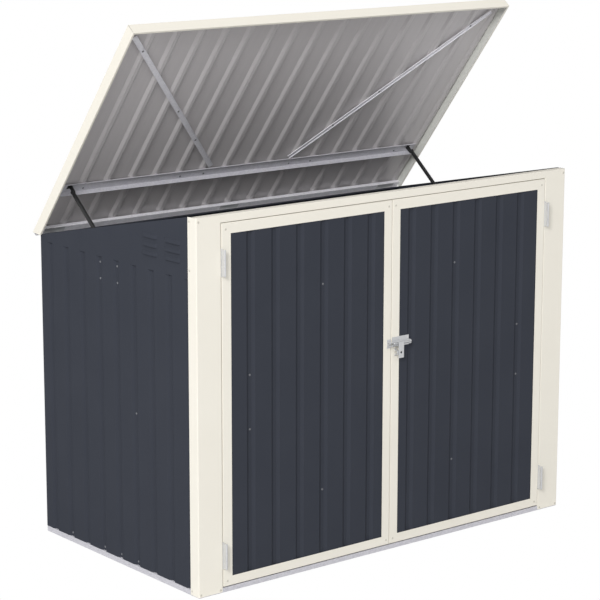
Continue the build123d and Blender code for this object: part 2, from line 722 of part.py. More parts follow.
# ---------------------------------------------------------------- latch
# A round bolt slides in a lipped channel on the right door and enters a channel on the left
# one. A flat hasp hangs from the bolt through the channel's slot. With the bolt home, the hole
# in the hasp lies in front of the padlock staple.
meeting_edge = -DOOR_RIGHT
bolt_y = FRONT - BOLT_REACH
channel_half = BOLT_RADIUS + GUIDE_PLAY + GUIDE_WALL
channel_front = bolt_y - channel_half


def bolt_channel(start, length, bottom, top):
    """A plate on the door's face with a channel for the bolt, slotted along its front."""
    cavity = channel_half - GUIDE_WALL
    with BuildPart() as channel:
        with BuildSketch(Plane.YZ.offset(start)):
            Polygon(
                (FRONT, LATCH_HEIGHT + bottom),
                (FRONT, LATCH_HEIGHT + top),
                (FRONT - LATCH_PLATE, LATCH_HEIGHT + top),
                (FRONT - LATCH_PLATE, LATCH_HEIGHT + bottom),
                align=None,
            )
            with Locations(((FRONT + channel_front) / 2, LATCH_HEIGHT)):
                Rectangle(FRONT - channel_front, 2 * channel_half)
            with Locations((bolt_y, LATCH_HEIGHT)):
                Rectangle(2 * cavity, 2 * cavity, mode=Mode.SUBTRACT)
            with Locations((channel_front, LATCH_HEIGHT)):
                Rectangle(2 * GUIDE_WALL, GUIDE_SLOT, mode=Mode.SUBTRACT)
        extrude(amount=length)
    return channel.part


base_length = LATCH_PLATE_X[1] - LATCH_PLATE_X[0]
keeper_length = KEEPER_X[1] - KEEPER_X[0]
save(bolt_channel(meeting_edge + LATCH_PLATE_X[0], base_length, *LATCH_PLATE_Z), "latch_base")
save(bolt_channel(KEEPER_X[0] - meeting_edge, keeper_length, *KEEPER_Z), "latch_keeper")

hasp_back = channel_front - HASP_GAP
hasp_middle = meeting_edge + sum(HASP_X) / 2
hasp_height = LATCH_HEIGHT + sum(HASP_Z) / 2
with BuildPart() as latch_bolt:
    with BuildSketch(Plane.YZ.offset(meeting_edge + BOLT_X[0])):
        with Locations((bolt_y, LATCH_HEIGHT)):
            Circle(BOLT_RADIUS)
    extrude(amount=BOLT_X[1] - BOLT_X[0])
    chamfer(latch_bolt.faces().sort_by(Axis.X)[0].edges(), BOLT_NOSE)
    with BuildSketch(Plane.YZ.offset(hasp_middle - HASP_NECK / 2)):
        with Locations(((bolt_y + hasp_back) / 2, LATCH_HEIGHT)):
            Rectangle(bolt_y - hasp_back, HASP_NECK_HEIGHT)
    extrude(amount=HASP_NECK)
    with BuildSketch(Plane.XZ.offset(-hasp_back)):
        with Locations((hasp_middle, hasp_height)):
            RectangleRounded(HASP_X[1] - HASP_X[0], HASP_Z[1] - HASP_Z[0], HASP_PLATE)
        with Locations((hasp_middle, LATCH_HEIGHT + HASP_Z[0] + HASP_HOLE_RISE)):
            Circle(HASP_HOLE_RADIUS, mode=Mode.SUBTRACT)
    extrude(amount=HASP_PLATE)
save(latch_bolt.part, "latch_bolt")

staple_bottom = LATCH_HEIGHT + STAPLE_Z[0]
staple_top = LATCH_HEIGHT + STAPLE_Z[1]
staple_line = [
    (FRONT, staple_bottom),
    (FRONT, staple_bottom + STAPLE_FOOT + STAPLE_PLATE),
    (FRONT - STAPLE_REACH + STAPLE_PLATE, staple_bottom + STAPLE_FOOT + STAPLE_PLATE),
    (FRONT - STAPLE_REACH + STAPLE_PLATE, staple_top - STAPLE_FOOT - STAPLE_PLATE),
    (FRONT, staple_top - STAPLE_FOOT - STAPLE_PLATE),
    (FRONT, staple_top),
]
staple_plane = Plane.YZ.offset(meeting_edge + STAPLE_X[0])
padlock_staple = folded(staple_plane, staple_line, STAPLE_X[1] - STAPLE_X[0], STAPLE_PLATE)
save(padlock_staple, "padlock_staple")

# ---------------------------------------------------------------- lid: three ribbed sheets
# The middle sheet laps under the outer two on a rib at each side, one thickness lower. The
# outermost ribs are cut by the lid's edges.
rim_inside = LID_SIDE + TRIM
ribs_each_side = int(-LID_SIDE // RIB_PITCH) + 1
ribs = [k * RIB_PITCH for k in range(-ribs_each_side, ribs_each_side + 1)]
rib_outline = grooved(
    ribs[0] - RIB_PITCH / 2,
    ribs[-1] + RIB_PITCH / 2,
    ribs,
    RIB_FOOT,
    RIB_CREST,
    RIB_DEPTH,
    LID_SHEET,
)
lap = LAP_RIB * RIB_PITCH


def lid_sheet(start, end, level):
    """A ribbed sheet from start to end, its top face level below the lid's."""
    top = Plane(origin=on_lid(0, LID_LENGTH - TRIM, level), x_dir=ACROSS, z_dir=-ALONG_LID)
    with BuildPart() as sheet:
        with BuildSketch(top):
            Polygon(*rib_outline, align=None)
            with Locations(((start + end) / 2, 0)):
                Rectangle(end - start, 2 * RIB_FACE, mode=Mode.INTERSECT)
        extrude(amount=LID_LENGTH - 2 * TRIM)
    return sheet.part


save_pair(lid_sheet(rim_inside, -lap + RIB_CREST / 2, 0), "lid_sheet_*")
save(lid_sheet(-lap, lap, LID_SHEET), "lid_sheet_middle")

# ---------------------------------------------------------------- lid: rims
# Folded over the sheets' edges: a flange on top, the face, and a hem turned in below.
with BuildPart() as lid_rim_side:
    with BuildSketch(lid_end(LID_LENGTH)):
        Polygon(
            (LID_SIDE, -TRIM),
            (LID_SIDE + RIM_FLANGE, -TRIM),
            (LID_SIDE + RIM_FLANGE, 0),
            (rim_inside, 0),
            (rim_inside, RIM_DEPTH - TRIM),
            (LID_SIDE + RIM_HEM, RIM_DEPTH - TRIM),
            (LID_SIDE + RIM_HEM, RIM_DEPTH),
            (LID_SIDE, RIM_DEPTH),
            align=None,
        )
    extrude(amount=LID_LENGTH)
    with BuildSketch(lid_section(rim_inside)):
        Polygon(
            (LID_LENGTH - RIM_FLANGE, -TRIM),
            (LID_LENGTH, -TRIM),
            (LID_LENGTH, 0),
            (LID_LENGTH - RIM_FLANGE, 0),
            align=None,
        )
        Polygon(
            (LID_LENGTH - RIM_HEM, RIM_DEPTH - TRIM),
            (LID_LENGTH, RIM_DEPTH - TRIM),
            (LID_LENGTH, RIM_DEPTH),
            (LID_LENGTH - RIM_HEM, RIM_DEPTH),
            align=None,
        )
    extrude(amount=RIM_FLANGE, mode=Mode.SUBTRACT)
    with BuildSketch(lid_section(LID_SIDE)):
        Polygon(
            (0, RIM_DEPTH), (0, RIM_DEPTH - RIM_CORNER), (RIM_CORNER, RIM_DEPTH), align=None
        )
    extrude(amount=RIM_HEM, mode=Mode.SUBTRACT)
save_pair(lid_rim_side.part, "lid_rim_*")

rim_front_outline = [
    (LID_LENGTH, -TRIM),
    (LID_LENGTH, RIM_DEPTH),
    (LID_LENGTH - RIM_HEM, RIM_DEPTH),
    (LID_LENGTH - RIM_HEM, RIM_DEPTH - TRIM),
    (LID_LENGTH - TRIM, RIM_DEPTH - TRIM),
    (LID_LENGTH - TRIM, 0),
    (LID_LENGTH - RIM_FLANGE, 0),
    (LID_LENGTH - RIM_FLANGE, -TRIM),
]
lid_rim_front = prism(lid_section(rim_inside), rim_front_outline, -2 * rim_inside)
save(lid_rim_front, "lid_rim_front")

# ---------------------------------------------------------------- lid: rails and braces
rear_web = RIB_FACE + REAR_RAIL_DEPTH
rear_rail_line = [
    (REAR_RAIL_S[1], RIB_FACE),
    (REAR_RAIL_S[1], rear_web),
    (REAR_RAIL_S[0], rear_web),
    (REAR_RAIL_S[0], RIB_FACE),
]
lid_rear_rail = folded(lid_section(rim_inside), rear_rail_line, -2 * rim_inside, TRIM)
save(lid_rear_rail, "lid_rear_rail")

cross_rail_line = [
    (CROSS_RAIL_S[0], RIB_FACE + CROSS_RAIL_LEG),
    (CROSS_RAIL_S[0], RIB_FACE),
    (CROSS_RAIL_S[1], RIB_FACE),
    (CROSS_RAIL_S[1], RIB_FACE + CROSS_RAIL_LIP),
]
cross_start = LEFT + CROSS_RAIL_INSET
lid_cross_rail = folded(lid_section(cross_start), cross_rail_line, -2 * cross_start)
save(lid_cross_rail, "lid_cross_rail")

brace_outer = on_lid(LEFT + LID_BRACE_OUTER[0], LID_LENGTH - LID_BRACE_OUTER[1], RIB_FACE)
brace_inner = on_lid(-LID_BRACE_INNER[0], CROSS_RAIL_S[1] + LID_BRACE_INNER[1], RIB_FACE)
brace_way = brace_outer - brace_inner
lid_brace_plane = Plane(
    origin=brace_inner, x_dir=UNDER_LID.cross(brace_way), z_dir=brace_way
)
brace_half_width = BRACE_WIDTH / 2
lid_brace_line = [
    (-brace_half_width, LID_BRACE_LIP),
    (-brace_half_width, 0),
    (brace_half_width, 0),
    (brace_half_width, LID_BRACE_LIP),
]
lid_brace = folded(lid_brace_plane, lid_brace_line, brace_way.length, TRIM)
save_pair(lid_brace, "lid_brace_*")

# ---------------------------------------------------------------- lid hinges
# The lid's leaf lies on the rear rail and turns down to the middle knuckle. The wall's leaf lies
# on the back of the box and has the outer two knuckles.
lid_knuckle = LID_HINGE_WIDTH / 3
lid_hinges = (LEFT + LID_HINGE_INSET, 0, -LEFT - LID_HINGE_INSET)
lid_bore = LID_PIN_RADIUS + RUNNING
leaf_turn = LID_PIN_S - KNUCKLE_RADIUS

with BuildPart() as lid_leaves:
    for x in lid_hinges:
        with BuildSketch(lid_section(x - LID_HINGE_WIDTH / 2)):
            with Locations(((leaf_turn + REAR_RAIL_S[1]) / 2, rear_web + LEAF / 2)):
                Rectangle(REAR_RAIL_S[1] - leaf_turn, LEAF)
        extrude(amount=LID_HINGE_WIDTH)
        with BuildSketch(lid_section(x - lid_knuckle / 2 + KNUCKLE_GAP / 2)):
            with Locations((leaf_turn + LEAF / 2, (rear_web + LID_PIN_OFF) / 2)):
                Rectangle(LEAF, LID_PIN_OFF - rear_web)
            with Locations((LID_PIN_S, LID_PIN_OFF)):
                Circle(KNUCKLE_RADIUS)
                Circle(lid_bore, mode=Mode.SUBTRACT)
        extrude(amount=lid_knuckle - KNUCKLE_GAP)
save(lid_leaves.part, "lid_hinge_leaves")

wall_leaf_top = LID_PIN.Z - KNUCKLE_RADIUS - LEAF_GAP
with BuildPart() as wall_leaves:
    for x in lid_hinges:
        with BuildSketch(Plane.YZ.offset(x - LID_HINGE_WIDTH / 2)):
            with Locations((BACK + LEAF / 2, wall_leaf_top - WALL_LEAF_HEIGHT / 2)):
                Rectangle(LEAF, WALL_LEAF_HEIGHT)
        extrude(amount=LID_HINGE_WIDTH)
        for place in (-1, 1):
            start = x + (place - 0.5) * lid_knuckle + KNUCKLE_GAP / 2
            with BuildSketch(Plane.YZ.offset(start)):
                with Locations((BACK + LEAF / 2, (wall_leaf_top + LID_PIN.Z) / 2)):
                    Rectangle(LEAF, LID_PIN.Z - wall_leaf_top)
                with Locations((LID_PIN.Y, LID_PIN.Z)):
                    Circle(KNUCKLE_RADIUS)
                    Circle(lid_bore, mode=Mode.SUBTRACT)
            extrude(amount=lid_knuckle - KNUCKLE_GAP)
save(wall_leaves.part, "lid_hinge_wall_leaves")

with BuildPart() as lid_pins:
    for x in lid_hinges:
        with BuildSketch(Plane.YZ.offset(x - LID_HINGE_WIDTH / 2)):
            with Locations((LID_PIN.Y, LID_PIN.Z)):
                Circle(LID_PIN_RADIUS)
        extrude(amount=LID_HINGE_WIDTH)
save(lid_pins.part, "lid_hinge_pins")

# ---------------------------------------------------------------- gas struts
# The tube hangs from a bracket on the lid's cross rail. The rod runs out of the tube's gland
# to an eye beside the pin of the wall bracket.
strut_x = LEFT + STRUT_INSET
strut_top = on_lid(strut_x, STRUT_TOP_S, STRUT_TOP_OFF)
strut_foot = Vector(strut_x, BACK - STRUT_FOOT_BEFORE, BACK_HEIGHT - STRUT_FOOT_BELOW)
strut_way = (strut_foot - strut_top).normalized()
strut_length = (strut_foot - strut_top).length
eye_side = ACROSS * (EYE_THICK / 2)


def along_strut(distance):
    """A plane square to the strut, this far below its upper pin."""
    return Plane(origin=strut_top + strut_way * distance, z_dir=strut_way)


def eye(centre, way):
    """A flat eye round a pin, with a neck that runs this way along the strut."""
    with BuildPart() as end:
        with BuildSketch(Plane(origin=centre - eye_side, x_dir=way, z_dir=ACROSS)):
            Circle(EYE_RADIUS)
            with Locations((EYE_NECK / 2, 0)):
                Rectangle(EYE_NECK, EYE_RADIUS)
            Circle(STRUT_PIN_RADIUS + RUNNING, mode=Mode.SUBTRACT)
        extrude(amount=EYE_THICK)
    return end.part


with BuildPart() as strut_cylinder:
    add(eye(strut_top, strut_way))
    with BuildSketch(along_strut(TUBE_START)):
        Circle(TUBE_RADIUS)
    extrude(amount=TUBE_END - TUBE_START)
    with BuildSketch(along_strut(BORE_START)):
        Circle(TUBE_BORE)
    extrude(amount=TUBE_END - GLAND - BORE_START, mode=Mode.SUBTRACT)
    with BuildSketch(along_strut(TUBE_END - GLAND)):
        Circle(ROD_RADIUS + RUNNING)
    extrude(amount=GLAND, mode=Mode.SUBTRACT)
save_pair(strut_cylinder.part, "strut_cylinder_*")

piston_start = TUBE_END - GLAND - PISTON_REST - PISTON_LENGTH
with BuildPart() as strut_rod:
    with BuildSketch(along_strut(piston_start)):
        Circle(ROD_RADIUS)
    extrude(amount=strut_length - EYE_RADIUS - piston_start)
    with BuildSketch(along_strut(piston_start)):
        Circle(TUBE_BORE - RUNNING)
    extrude(amount=PISTON_LENGTH)
    add(eye(strut_foot, -strut_way))
save_pair(strut_rod.part, "strut_rod_*")

# ---------------------------------------------------------------- gas strut brackets
ear_face = strut_x + EYE_THICK / 2 + STRUT_PLAY
pin_end = strut_x - EYE_THICK / 2 - STRUT_PLAY
rail_web = RIB_FACE + SECTION
foot_half = CROSS_RAIL_S[1] - SECTION - STRUT_TOP_S
with BuildPart() as lid_bracket:
    with BuildSketch(lid_section(strut_x - EYE_RADIUS)):
        with Locations((STRUT_TOP_S, rail_web + BRACKET_PLATE / 2)):
            Rectangle(2 * foot_half, BRACKET_PLATE)
    extrude(amount=EYE_RADIUS + EYE_THICK / 2 + STRUT_PLAY + BRACKET_PLATE)
    with BuildSketch(lid_section(ear_face)):
        Polygon(
            (STRUT_TOP_S + foot_half, rail_web),
            (STRUT_TOP_S + EYE_RADIUS, STRUT_TOP_OFF),
            (STRUT_TOP_S - EYE_RADIUS, STRUT_TOP_OFF),
            (STRUT_TOP_S - foot_half, rail_web),
            align=None,
        )
        with Locations((STRUT_TOP_S, STRUT_TOP_OFF)):
            Circle(EYE_RADIUS)
    extrude(amount=BRACKET_PLATE)
    with BuildSketch(lid_section(pin_end)):
        with Locations((STRUT_TOP_S, STRUT_TOP_OFF)):
            Circle(STRUT_PIN_RADIUS)
    extrude(amount=ear_face - pin_end)
    with BuildSketch(lid_section(pin_end - BRACKET_PLATE)):
        with Locations((STRUT_TOP_S, STRUT_TOP_OFF)):
            Circle(STRUT_PIN_RADIUS + BRACKET_PLATE)
    extrude(amount=BRACKET_PLATE)
    mirror(about=Plane.YZ)
save(lid_bracket.part, "lid_strut_brackets")

bracket_grooves = [y for y in side_grooves if abs(y - strut_foot.Y) < SIDE_GROOVE_PITCH]
bracket_front = bracket_grooves[0] - WALL_BRACKET_MARGIN
bracket_back = bracket_grooves[-1] + WALL_BRACKET_MARGIN
bracket_length = bracket_back - bracket_front
bracket_face = LEFT + SIDE_SEAT
with BuildPart() as wall_bracket:
    with BuildSketch(Plane.YZ.offset(bracket_face)):
        with Locations(((bracket_front + bracket_back) / 2, strut_foot.Z)):
            RectangleRounded(bracket_length, WALL_BRACKET_HEIGHT, WALL_BRACKET_CORNER)
    extrude(amount=BRACKET_PLATE)
    with BuildSketch(Plane.YZ.offset(bracket_face + BRACKET_PLATE)):
        with Locations((strut_foot.Y, strut_foot.Z)):
            Circle(EYE_RADIUS)
    extrude(amount=pin_end - bracket_face - BRACKET_PLATE)
    chamfer(wall_bracket.faces().sort_by(Axis.X)[-1].edges(), BOSS_CHAMFER)
    mirror(about=Plane.YZ)
save(wall_bracket.part, "strut_brackets_wall")

# ---------------------------------------------------------------- screws
# Pan heads, grouped by the part that they hold.
TO_LEFT = (-1, 0, 0)
TO_FRONT = (0, -1, 0)
TO_BACK = (0, 1, 0)
floor_x = LEFT + SECTION + GROOVE_DEPTH
post_screws = [((LEFT + x, FRONT, POST_SCREW_LOW), TO_FRONT) for x in POST_SCREWS_X]
post_screws.append(((LEFT + POST_SCREWS_X[0], FRONT, FRONT_HEIGHT - POST_SCREW_HIGH), TO_FRONT))
side_heights = (SIDE_SCREW_LOW, GROOVE_TOP + SIDE_SCREW_MIDDLE, FRONT_HEIGHT - SIDE_SCREW_HIGH)
post_screws += [((LEFT, FRONT + SIDE_SCREW_Y, z), TO_LEFT) for z in side_heights]
wall_screws = [((floor_x, side_grooves[3], WALL_SCREW_HEIGHT), TO_LEFT)]
for y in side_grooves[3:6] + side_grooves[-2:-1]:
    wall_screws.append(((floor_x, y, BASE_SCREW_HEIGHT), TO_LEFT))
for rise in BRACKET_SCREWS:
    wall_screws += [((floor_x, y, strut_foot.Z + rise), TO_LEFT) for y in bracket_grooves]
leaf_screws = []
for x in lid_hinges:
    for shift in (-LEAF_SCREW_SPREAD, LEAF_SCREW_SPREAD):
        leaf_screws.append(((x + shift, BACK + LEAF, wall_leaf_top - LEAF_SCREW_DROP), TO_BACK))
with BuildPart() as screws_store:
    add(heads(both_sides(post_screws + wall_screws)))
    add(heads(leaf_screws))
save(screws_store.part, "screws_store")

corner_places = (DOOR_LEFT + DOOR_SCREWS_X[0], DOOR_RIGHT + DOOR_SCREWS_X[1])
corner_heights = (DOOR_BOTTOM + DOOR_SCREWS_Z[0], DOOR_TOP + DOOR_SCREWS_Z[1])
door_screws = [((x, FRONT, z), TO_FRONT) for x in corner_places for z in corner_heights]
for groove in (door_grooves[0], door_grooves[3]):
    for up in (-1, 1):
        z = DOOR_MIDDLE + up * door_brace_height(groove)
        door_screws.append(((groove, panel_face + GROOVE_DEPTH, z), TO_FRONT))
save_pair(heads(door_screws), "screws_door_*")

under = tuple(UNDER_LID)
rail_places = [LEFT + CROSS_RAIL_END_SCREW] + [-x for x in CROSS_RAIL_SCREWS_X]
lid_screws = [(tuple(on_lid(x, CROSS_RAIL_SCREWS_S, rail_web)), under) for x in rail_places]
for share in LID_BRACE_SCREWS:
    point = brace_outer + (brace_inner - brace_outer) * share + UNDER_LID * TRIM
    lid_screws.append((tuple(point), under))
save(heads(both_sides(lid_screws)), "screws_lid")
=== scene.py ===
import json
from math import cos, pi, radians, sin

import bmesh
import bpy
import numpy as np
from mathutils import Matrix, Vector


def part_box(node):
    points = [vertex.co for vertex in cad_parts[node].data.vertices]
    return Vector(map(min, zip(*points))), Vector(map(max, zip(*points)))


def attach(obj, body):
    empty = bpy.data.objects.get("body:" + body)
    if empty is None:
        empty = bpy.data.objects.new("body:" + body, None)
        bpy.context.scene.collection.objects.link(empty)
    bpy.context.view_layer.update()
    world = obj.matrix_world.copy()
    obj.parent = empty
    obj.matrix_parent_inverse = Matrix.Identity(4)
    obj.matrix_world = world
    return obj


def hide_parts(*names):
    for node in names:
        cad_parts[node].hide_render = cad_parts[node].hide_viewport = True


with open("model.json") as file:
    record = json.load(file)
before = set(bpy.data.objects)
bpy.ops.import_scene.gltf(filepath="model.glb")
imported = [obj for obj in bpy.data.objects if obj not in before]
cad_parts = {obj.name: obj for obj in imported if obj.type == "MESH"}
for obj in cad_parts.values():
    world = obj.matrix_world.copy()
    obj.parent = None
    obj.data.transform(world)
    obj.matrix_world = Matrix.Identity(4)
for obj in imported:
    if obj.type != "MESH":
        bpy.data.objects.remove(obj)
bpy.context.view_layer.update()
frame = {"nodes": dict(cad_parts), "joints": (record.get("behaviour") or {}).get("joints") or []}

# ---------------------------------------------------------------- base rails
# The box stands on four rails of bare hot-dip galvanised steel, folded from 1 mm sheet: a flange
# on the ground, an outer leg, a ledge that the sheets stand on and a leg behind them. The rails
# meet at the corners of the box.
MM = 0.001  # sizes are in millimetres, and the mesh is in metres
SIDES = (("left", 1), ("right", -1))
SHARP = radians(38)
MERGE_DISTANCE = 0.002
SECTION = 1.0
SECTION_BEND = 1.8
BEND_SHARE = 0.46
BEND_EASE = 0.1
LEDGE = 20.0
SILL = 17.0
FLANGE = 40.0
SIDE_SEAT = 8.5
FRONT_SEAT = 23.0
BACK_SEAT = 7.5
GALVANISED_GREYS = ("#c2c1c8", "#cfced4")
CRYSTAL_SIZE = 6.0
OXIDE_CLOUD = 60.0


def box(node):
    """The lowest and highest corner of a CAD node, in millimetres."""
    return [np.array(corner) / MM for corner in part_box(node)]


def linear(code):
    """The linear colour of an sRGB hex code: c / 12.92 up to 0.04045, and above that
    (c + 0.055) / 1.055 to the power 2.4."""
    channels = [int(code[k : k + 2], 16) / 255 for k in (1, 3, 5)]
    return (*[c / 12.92 if c <= 0.04045 else ((c + 0.055) / 1.055) ** 2.4 for c in channels], 1.0)


def feed(owner, node, inputs):
    """Gives a node of a material or world its inputs. One that is given a socket is linked to it,
    any other is set."""
    for name, value in inputs.items():
        if isinstance(value, bpy.types.NodeSocket):
            owner.node_tree.links.new(value, node.inputs[name])
        else:
            node.inputs[name].default_value = value


def add_node(owner, kind, output, inputs, **settings):
    """Adds a node with its settings and inputs, and returns one of its outputs."""
    node = owner.node_tree.nodes.new(kind)
    for name, value in settings.items():
        setattr(node, name, value)
    feed(owner, node, inputs)
    return node.outputs[output]


def new_material(name):
    """A node material, and the object coordinates that its patterns use."""
    material = bpy.data.materials.new(name)
    material.use_nodes = True
    return material, add_node(material, "ShaderNodeTexCoord", "Object", {})


def coat(material, codes, tone, grain, inputs, roughness):
    """Gives the material's shader a colour that goes between two codes with the tone, a roughness
    that goes between two values with the grain, and its other inputs."""
    colours = {"Factor": tone, "A": linear(codes[0]), "B": linear(codes[1])}
    sheen = {"Value": grain, "To Min": roughness[0], "To Max": roughness[1]}
    inputs = {
        "Base Color": add_node(material, "ShaderNodeMix", "Result", colours, data_type="RGBA"),
        "Roughness": add_node(material, "ShaderNodeMapRange", "Result", sheen),
        **inputs,
    }
    feed(material, material.node_tree.nodes["Principled BSDF"], inputs)


def make_galvanised(name, codes):
    """Hot-dip galvanised steel: zinc crystals 5 to 8 mm across, each a slightly different grey,
    under a pale oxide that is cloudy every 60 mm."""
    material, place = new_material(name)
    crystals = {"Vector": place, "Scale": 1 / (CRYSTAL_SIZE * MM)}
    crystal = add_node(material, "ShaderNodeTexVoronoi", "Color", crystals)
    tone = add_node(material, "ShaderNodeSeparateColor", "Red", {"Color": crystal})
    clouds = {"Vector": place, "Scale": 1 / (OXIDE_CLOUD * MM)}
    cloud = add_node(material, "ShaderNodeTexNoise", "Fac", clouds)
    coat(material, codes, tone, cloud, {"Metallic": 0.1}, roughness=(0.36, 0.5))
    return material


def rounded(corners, radius, steps=5):
    """The line through corners with an arc of the given radius at each inner corner, tangent to
    both legs, or as large as the shorter leg allows. A short straight step before and after each
    arc keeps the flats flat in shading."""
    corners = np.array(corners, float)
    legs = np.diff(corners, axis=0)
    length = np.linalg.norm(legs, axis=1, keepdims=True)
    way = legs / length
    turn = np.arccos(np.clip((way[:-1] * way[1:]).sum(1, keepdims=True), -1, 1))
    room = BEND_SHARE * np.minimum(length[:-1], length[1:])
    reach = np.minimum(radius * np.tan(turn / 2), room)
    first = corners[1:-1] - reach * way[:-1]
    last = corners[1:-1] + reach * way[1:]
    centre = corners[1:-1] + (way[1:] - way[:-1]) * reach / np.tan(turn / 2) / np.sin(turn)
    share = np.linspace(0, 1, steps + 1)[None, :, None]
    angle = turn[:, None]
    arcs = np.sin((1 - share) * angle) * (first - centre)[:, None]
    arcs = (arcs + np.sin(share * angle) * (last - centre)[:, None]) / np.sin(angle)
    arcs += centre[:, None]
    ease = BEND_EASE * reach
    before = (first - ease * way[:-1])[:, None]
    after = (last + ease * way[1:])[:, None]
    bends = np.concatenate([before, arcs, after], axis=1).reshape(-1, 2)
    return np.concatenate([corners[:1], bends, corners[-1:]])


def beside(line, distance):
    """The line moved to its left: each point goes along the mean of its two legs' normals, far
    enough that the legs keep their distance."""
    way = np.diff(line, axis=0)
    way /= np.linalg.norm(way, axis=1, keepdims=True)
    left = np.stack([-way[:, 1], way[:, 0]], axis=1)
    before, after = np.vstack([left[:1], left]), np.vstack([left, left[-1:]])
    return line + distance * (before + after) / (1 + (before * after).sum(1, keepdims=True))


def plane(origin, across, up):
    """Turns three lengths into points: along across, along up, and along their cross product."""
    origin, across, up = (np.array(v, float) for v in (origin, across, up))
    normal = np.cross(across, up)

    def place(a, b, c):
        a, b, c = np.broadcast_arrays(a, b, c)
        return origin + a[..., None] * across + b[..., None] * up + c[..., None] * normal

    return place


def mesh_piece(name, points, faces, side=1, back=None):
    """An object from points in millimetres and faces. Side -1 makes the mirror image about the
    middle of the box. Points that meet are merged. Faces that back marks take the second
    material."""
    used, faces = np.unique(faces, return_inverse=True)
    faces = faces.reshape(-1, 4)[:, ::side]
    points = points.reshape(-1, 3)[used] * MM * (side, 1, 1)
    mesh = bpy.data.meshes.new(name)
    mesh.from_pydata(points.tolist(), [], faces.tolist())
    if back is not None:
        mesh.polygons.foreach_set("material_index", back.astype(np.int32))
    cleaned = bmesh.new()
    cleaned.from_mesh(mesh)
    bmesh.ops.remove_doubles(cleaned, verts=cleaned.verts, dist=MERGE_DISTANCE * MM)
    cleaned.to_mesh(mesh)
    cleaned.free()
    mesh.shade_smooth()
    mesh.set_sharp_from_angle(angle=SHARP)
    piece = bpy.data.objects.new(name, mesh)
    bpy.context.scene.collection.objects.link(piece)
    return piece


def shell_faces(rows, columns, keep=None, ring=False):
    """The faces of a closed sheet between an outer and an inner grid, and which of them are
    inside. Each kept cell gives one face on either grid, and where a kept cell has no kept
    neighbour a rim joins the grids. A ring's last column meets its first one, without rims."""
    keep = np.ones((rows - 1, columns - 1), bool) if keep is None else keep
    grid = np.arange(rows * columns).reshape(rows, columns)
    inner = rows * columns
    outside = np.stack([grid[:-1, :-1], grid[1:, :-1], grid[1:, 1:], grid[:-1, 1:]], -1)[keep]
    inside = outside[:, ::-1] + inner
    framed = np.pad(keep, 1)
    if ring:
        framed[:, [0, -1]] = framed[:, [1, -2]]

    def rim(a, b, where):
        return np.stack([a, b, b + inner, a + inner], -1)[where]

    up, down = framed[1:, 1:-1], framed[:-1, 1:-1]
    right, left = framed[1:-1, 1:], framed[1:-1, :-1]
    rims = np.concatenate([
        rim(grid[:, :-1], grid[:, 1:], up & ~down),
        rim(grid[:, 1:], grid[:, :-1], down & ~up),
        rim(grid[1:], grid[:-1], right & ~left),
        rim(grid[:-1], grid[1:], left & ~right),
    ])
    faces = np.concatenate([outside, inside, rims])
    back = np.arange(len(faces)) >= len(outside)
    return faces, back


def folded(
    name, corners, ends, place, thickness=SECTION, bend=SECTION_BEND, side=1, lined=False
):
    """A folded strip. Its outer face follows the corners, rounded to the bend, with its thickness
    to their left. It runs between its two ends, each a number or a function of the two
    coordinates of the line. A lined one takes its second material inside."""
    line = rounded(corners, bend)
    inner = beside(line, thickness)
    reach = [end(line[:, 0], line[:, 1]) if callable(end) else end for end in ends]
    along = np.stack([np.broadcast_to(r, len(line)) for r in reach], axis=1)
    grids = [place(flat[:, :1], flat[:, 1:], along) for flat in (line, inner)]
    faces, back = shell_faces(len(line), 2)
    return mesh_piece(name, np.stack(grids), faces, side, back=back if lined else None)


def dress(piece, materials, body, slot, *nodes):
    """Gives a new piece its materials and the body that it rides on, and hides the CAD nodes that
    it stands for. Its slot is not used."""
    for material in materials:
        piece.data.materials.append(material)
    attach(piece, body)
    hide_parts(*nodes)


def rail_corners(edge, seat, height, top, flange):
    """A base rail's section, from the leg behind the sheets out and down to the ground flange."""
    return [(seat, top), (seat, height), (edge, height), (edge, 0), (edge + flange, 0)]


galvanised = make_galvanised("galvanised_steel", GALVANISED_GREYS)
rail_low, rail_high = box("base_rail_left")
back_low, back_high = box("base_rail_back")
sill_low, sill_high = box("base_rail_front")
left_edge = rail_low[0] - SECTION
front_edge = sill_low[1] - SECTION
back_edge = back_high[1]

side_rail = rail_corners(SECTION, SIDE_SEAT, LEDGE, rail_high[2], FLANGE + SECTION)
side_place = plane((left_edge, rail_high[1], 0), (1, 0, 0), (0, 0, 1))
for name, side in SIDES:
    ends = (0, rail_high[1] - rail_low[1])
    rail = folded(f"base_side_rail_{name}", side_rail, ends, side_place, side=side)
    dress(rail, [galvanised], "store", "galvanised", f"base_rail_{name}")
sill_rail = rail_corners(SECTION, FRONT_SEAT, SILL, sill_high[2], FLANGE + SECTION)
sill_place = plane((sill_low[0], front_edge, 0), (0, 1, 0), (0, 0, 1))
sill = folded("base_sill", sill_rail, (0, sill_high[0] - sill_low[0]), sill_place)
dress(sill, [galvanised], "store", "galvanised", "base_rail_front")
back_rail = rail_corners(0, BACK_SEAT, LEDGE, back_high[2], FLANGE)
back_place = plane((back_high[0], back_edge, 0), (0, -1, 0), (0, 0, 1))
rail = folded("base_back_rail", back_rail, (0, back_high[0] - back_low[0]), back_place)
dress(rail, [galvanised], "store", "galvanised", "base_rail_back")

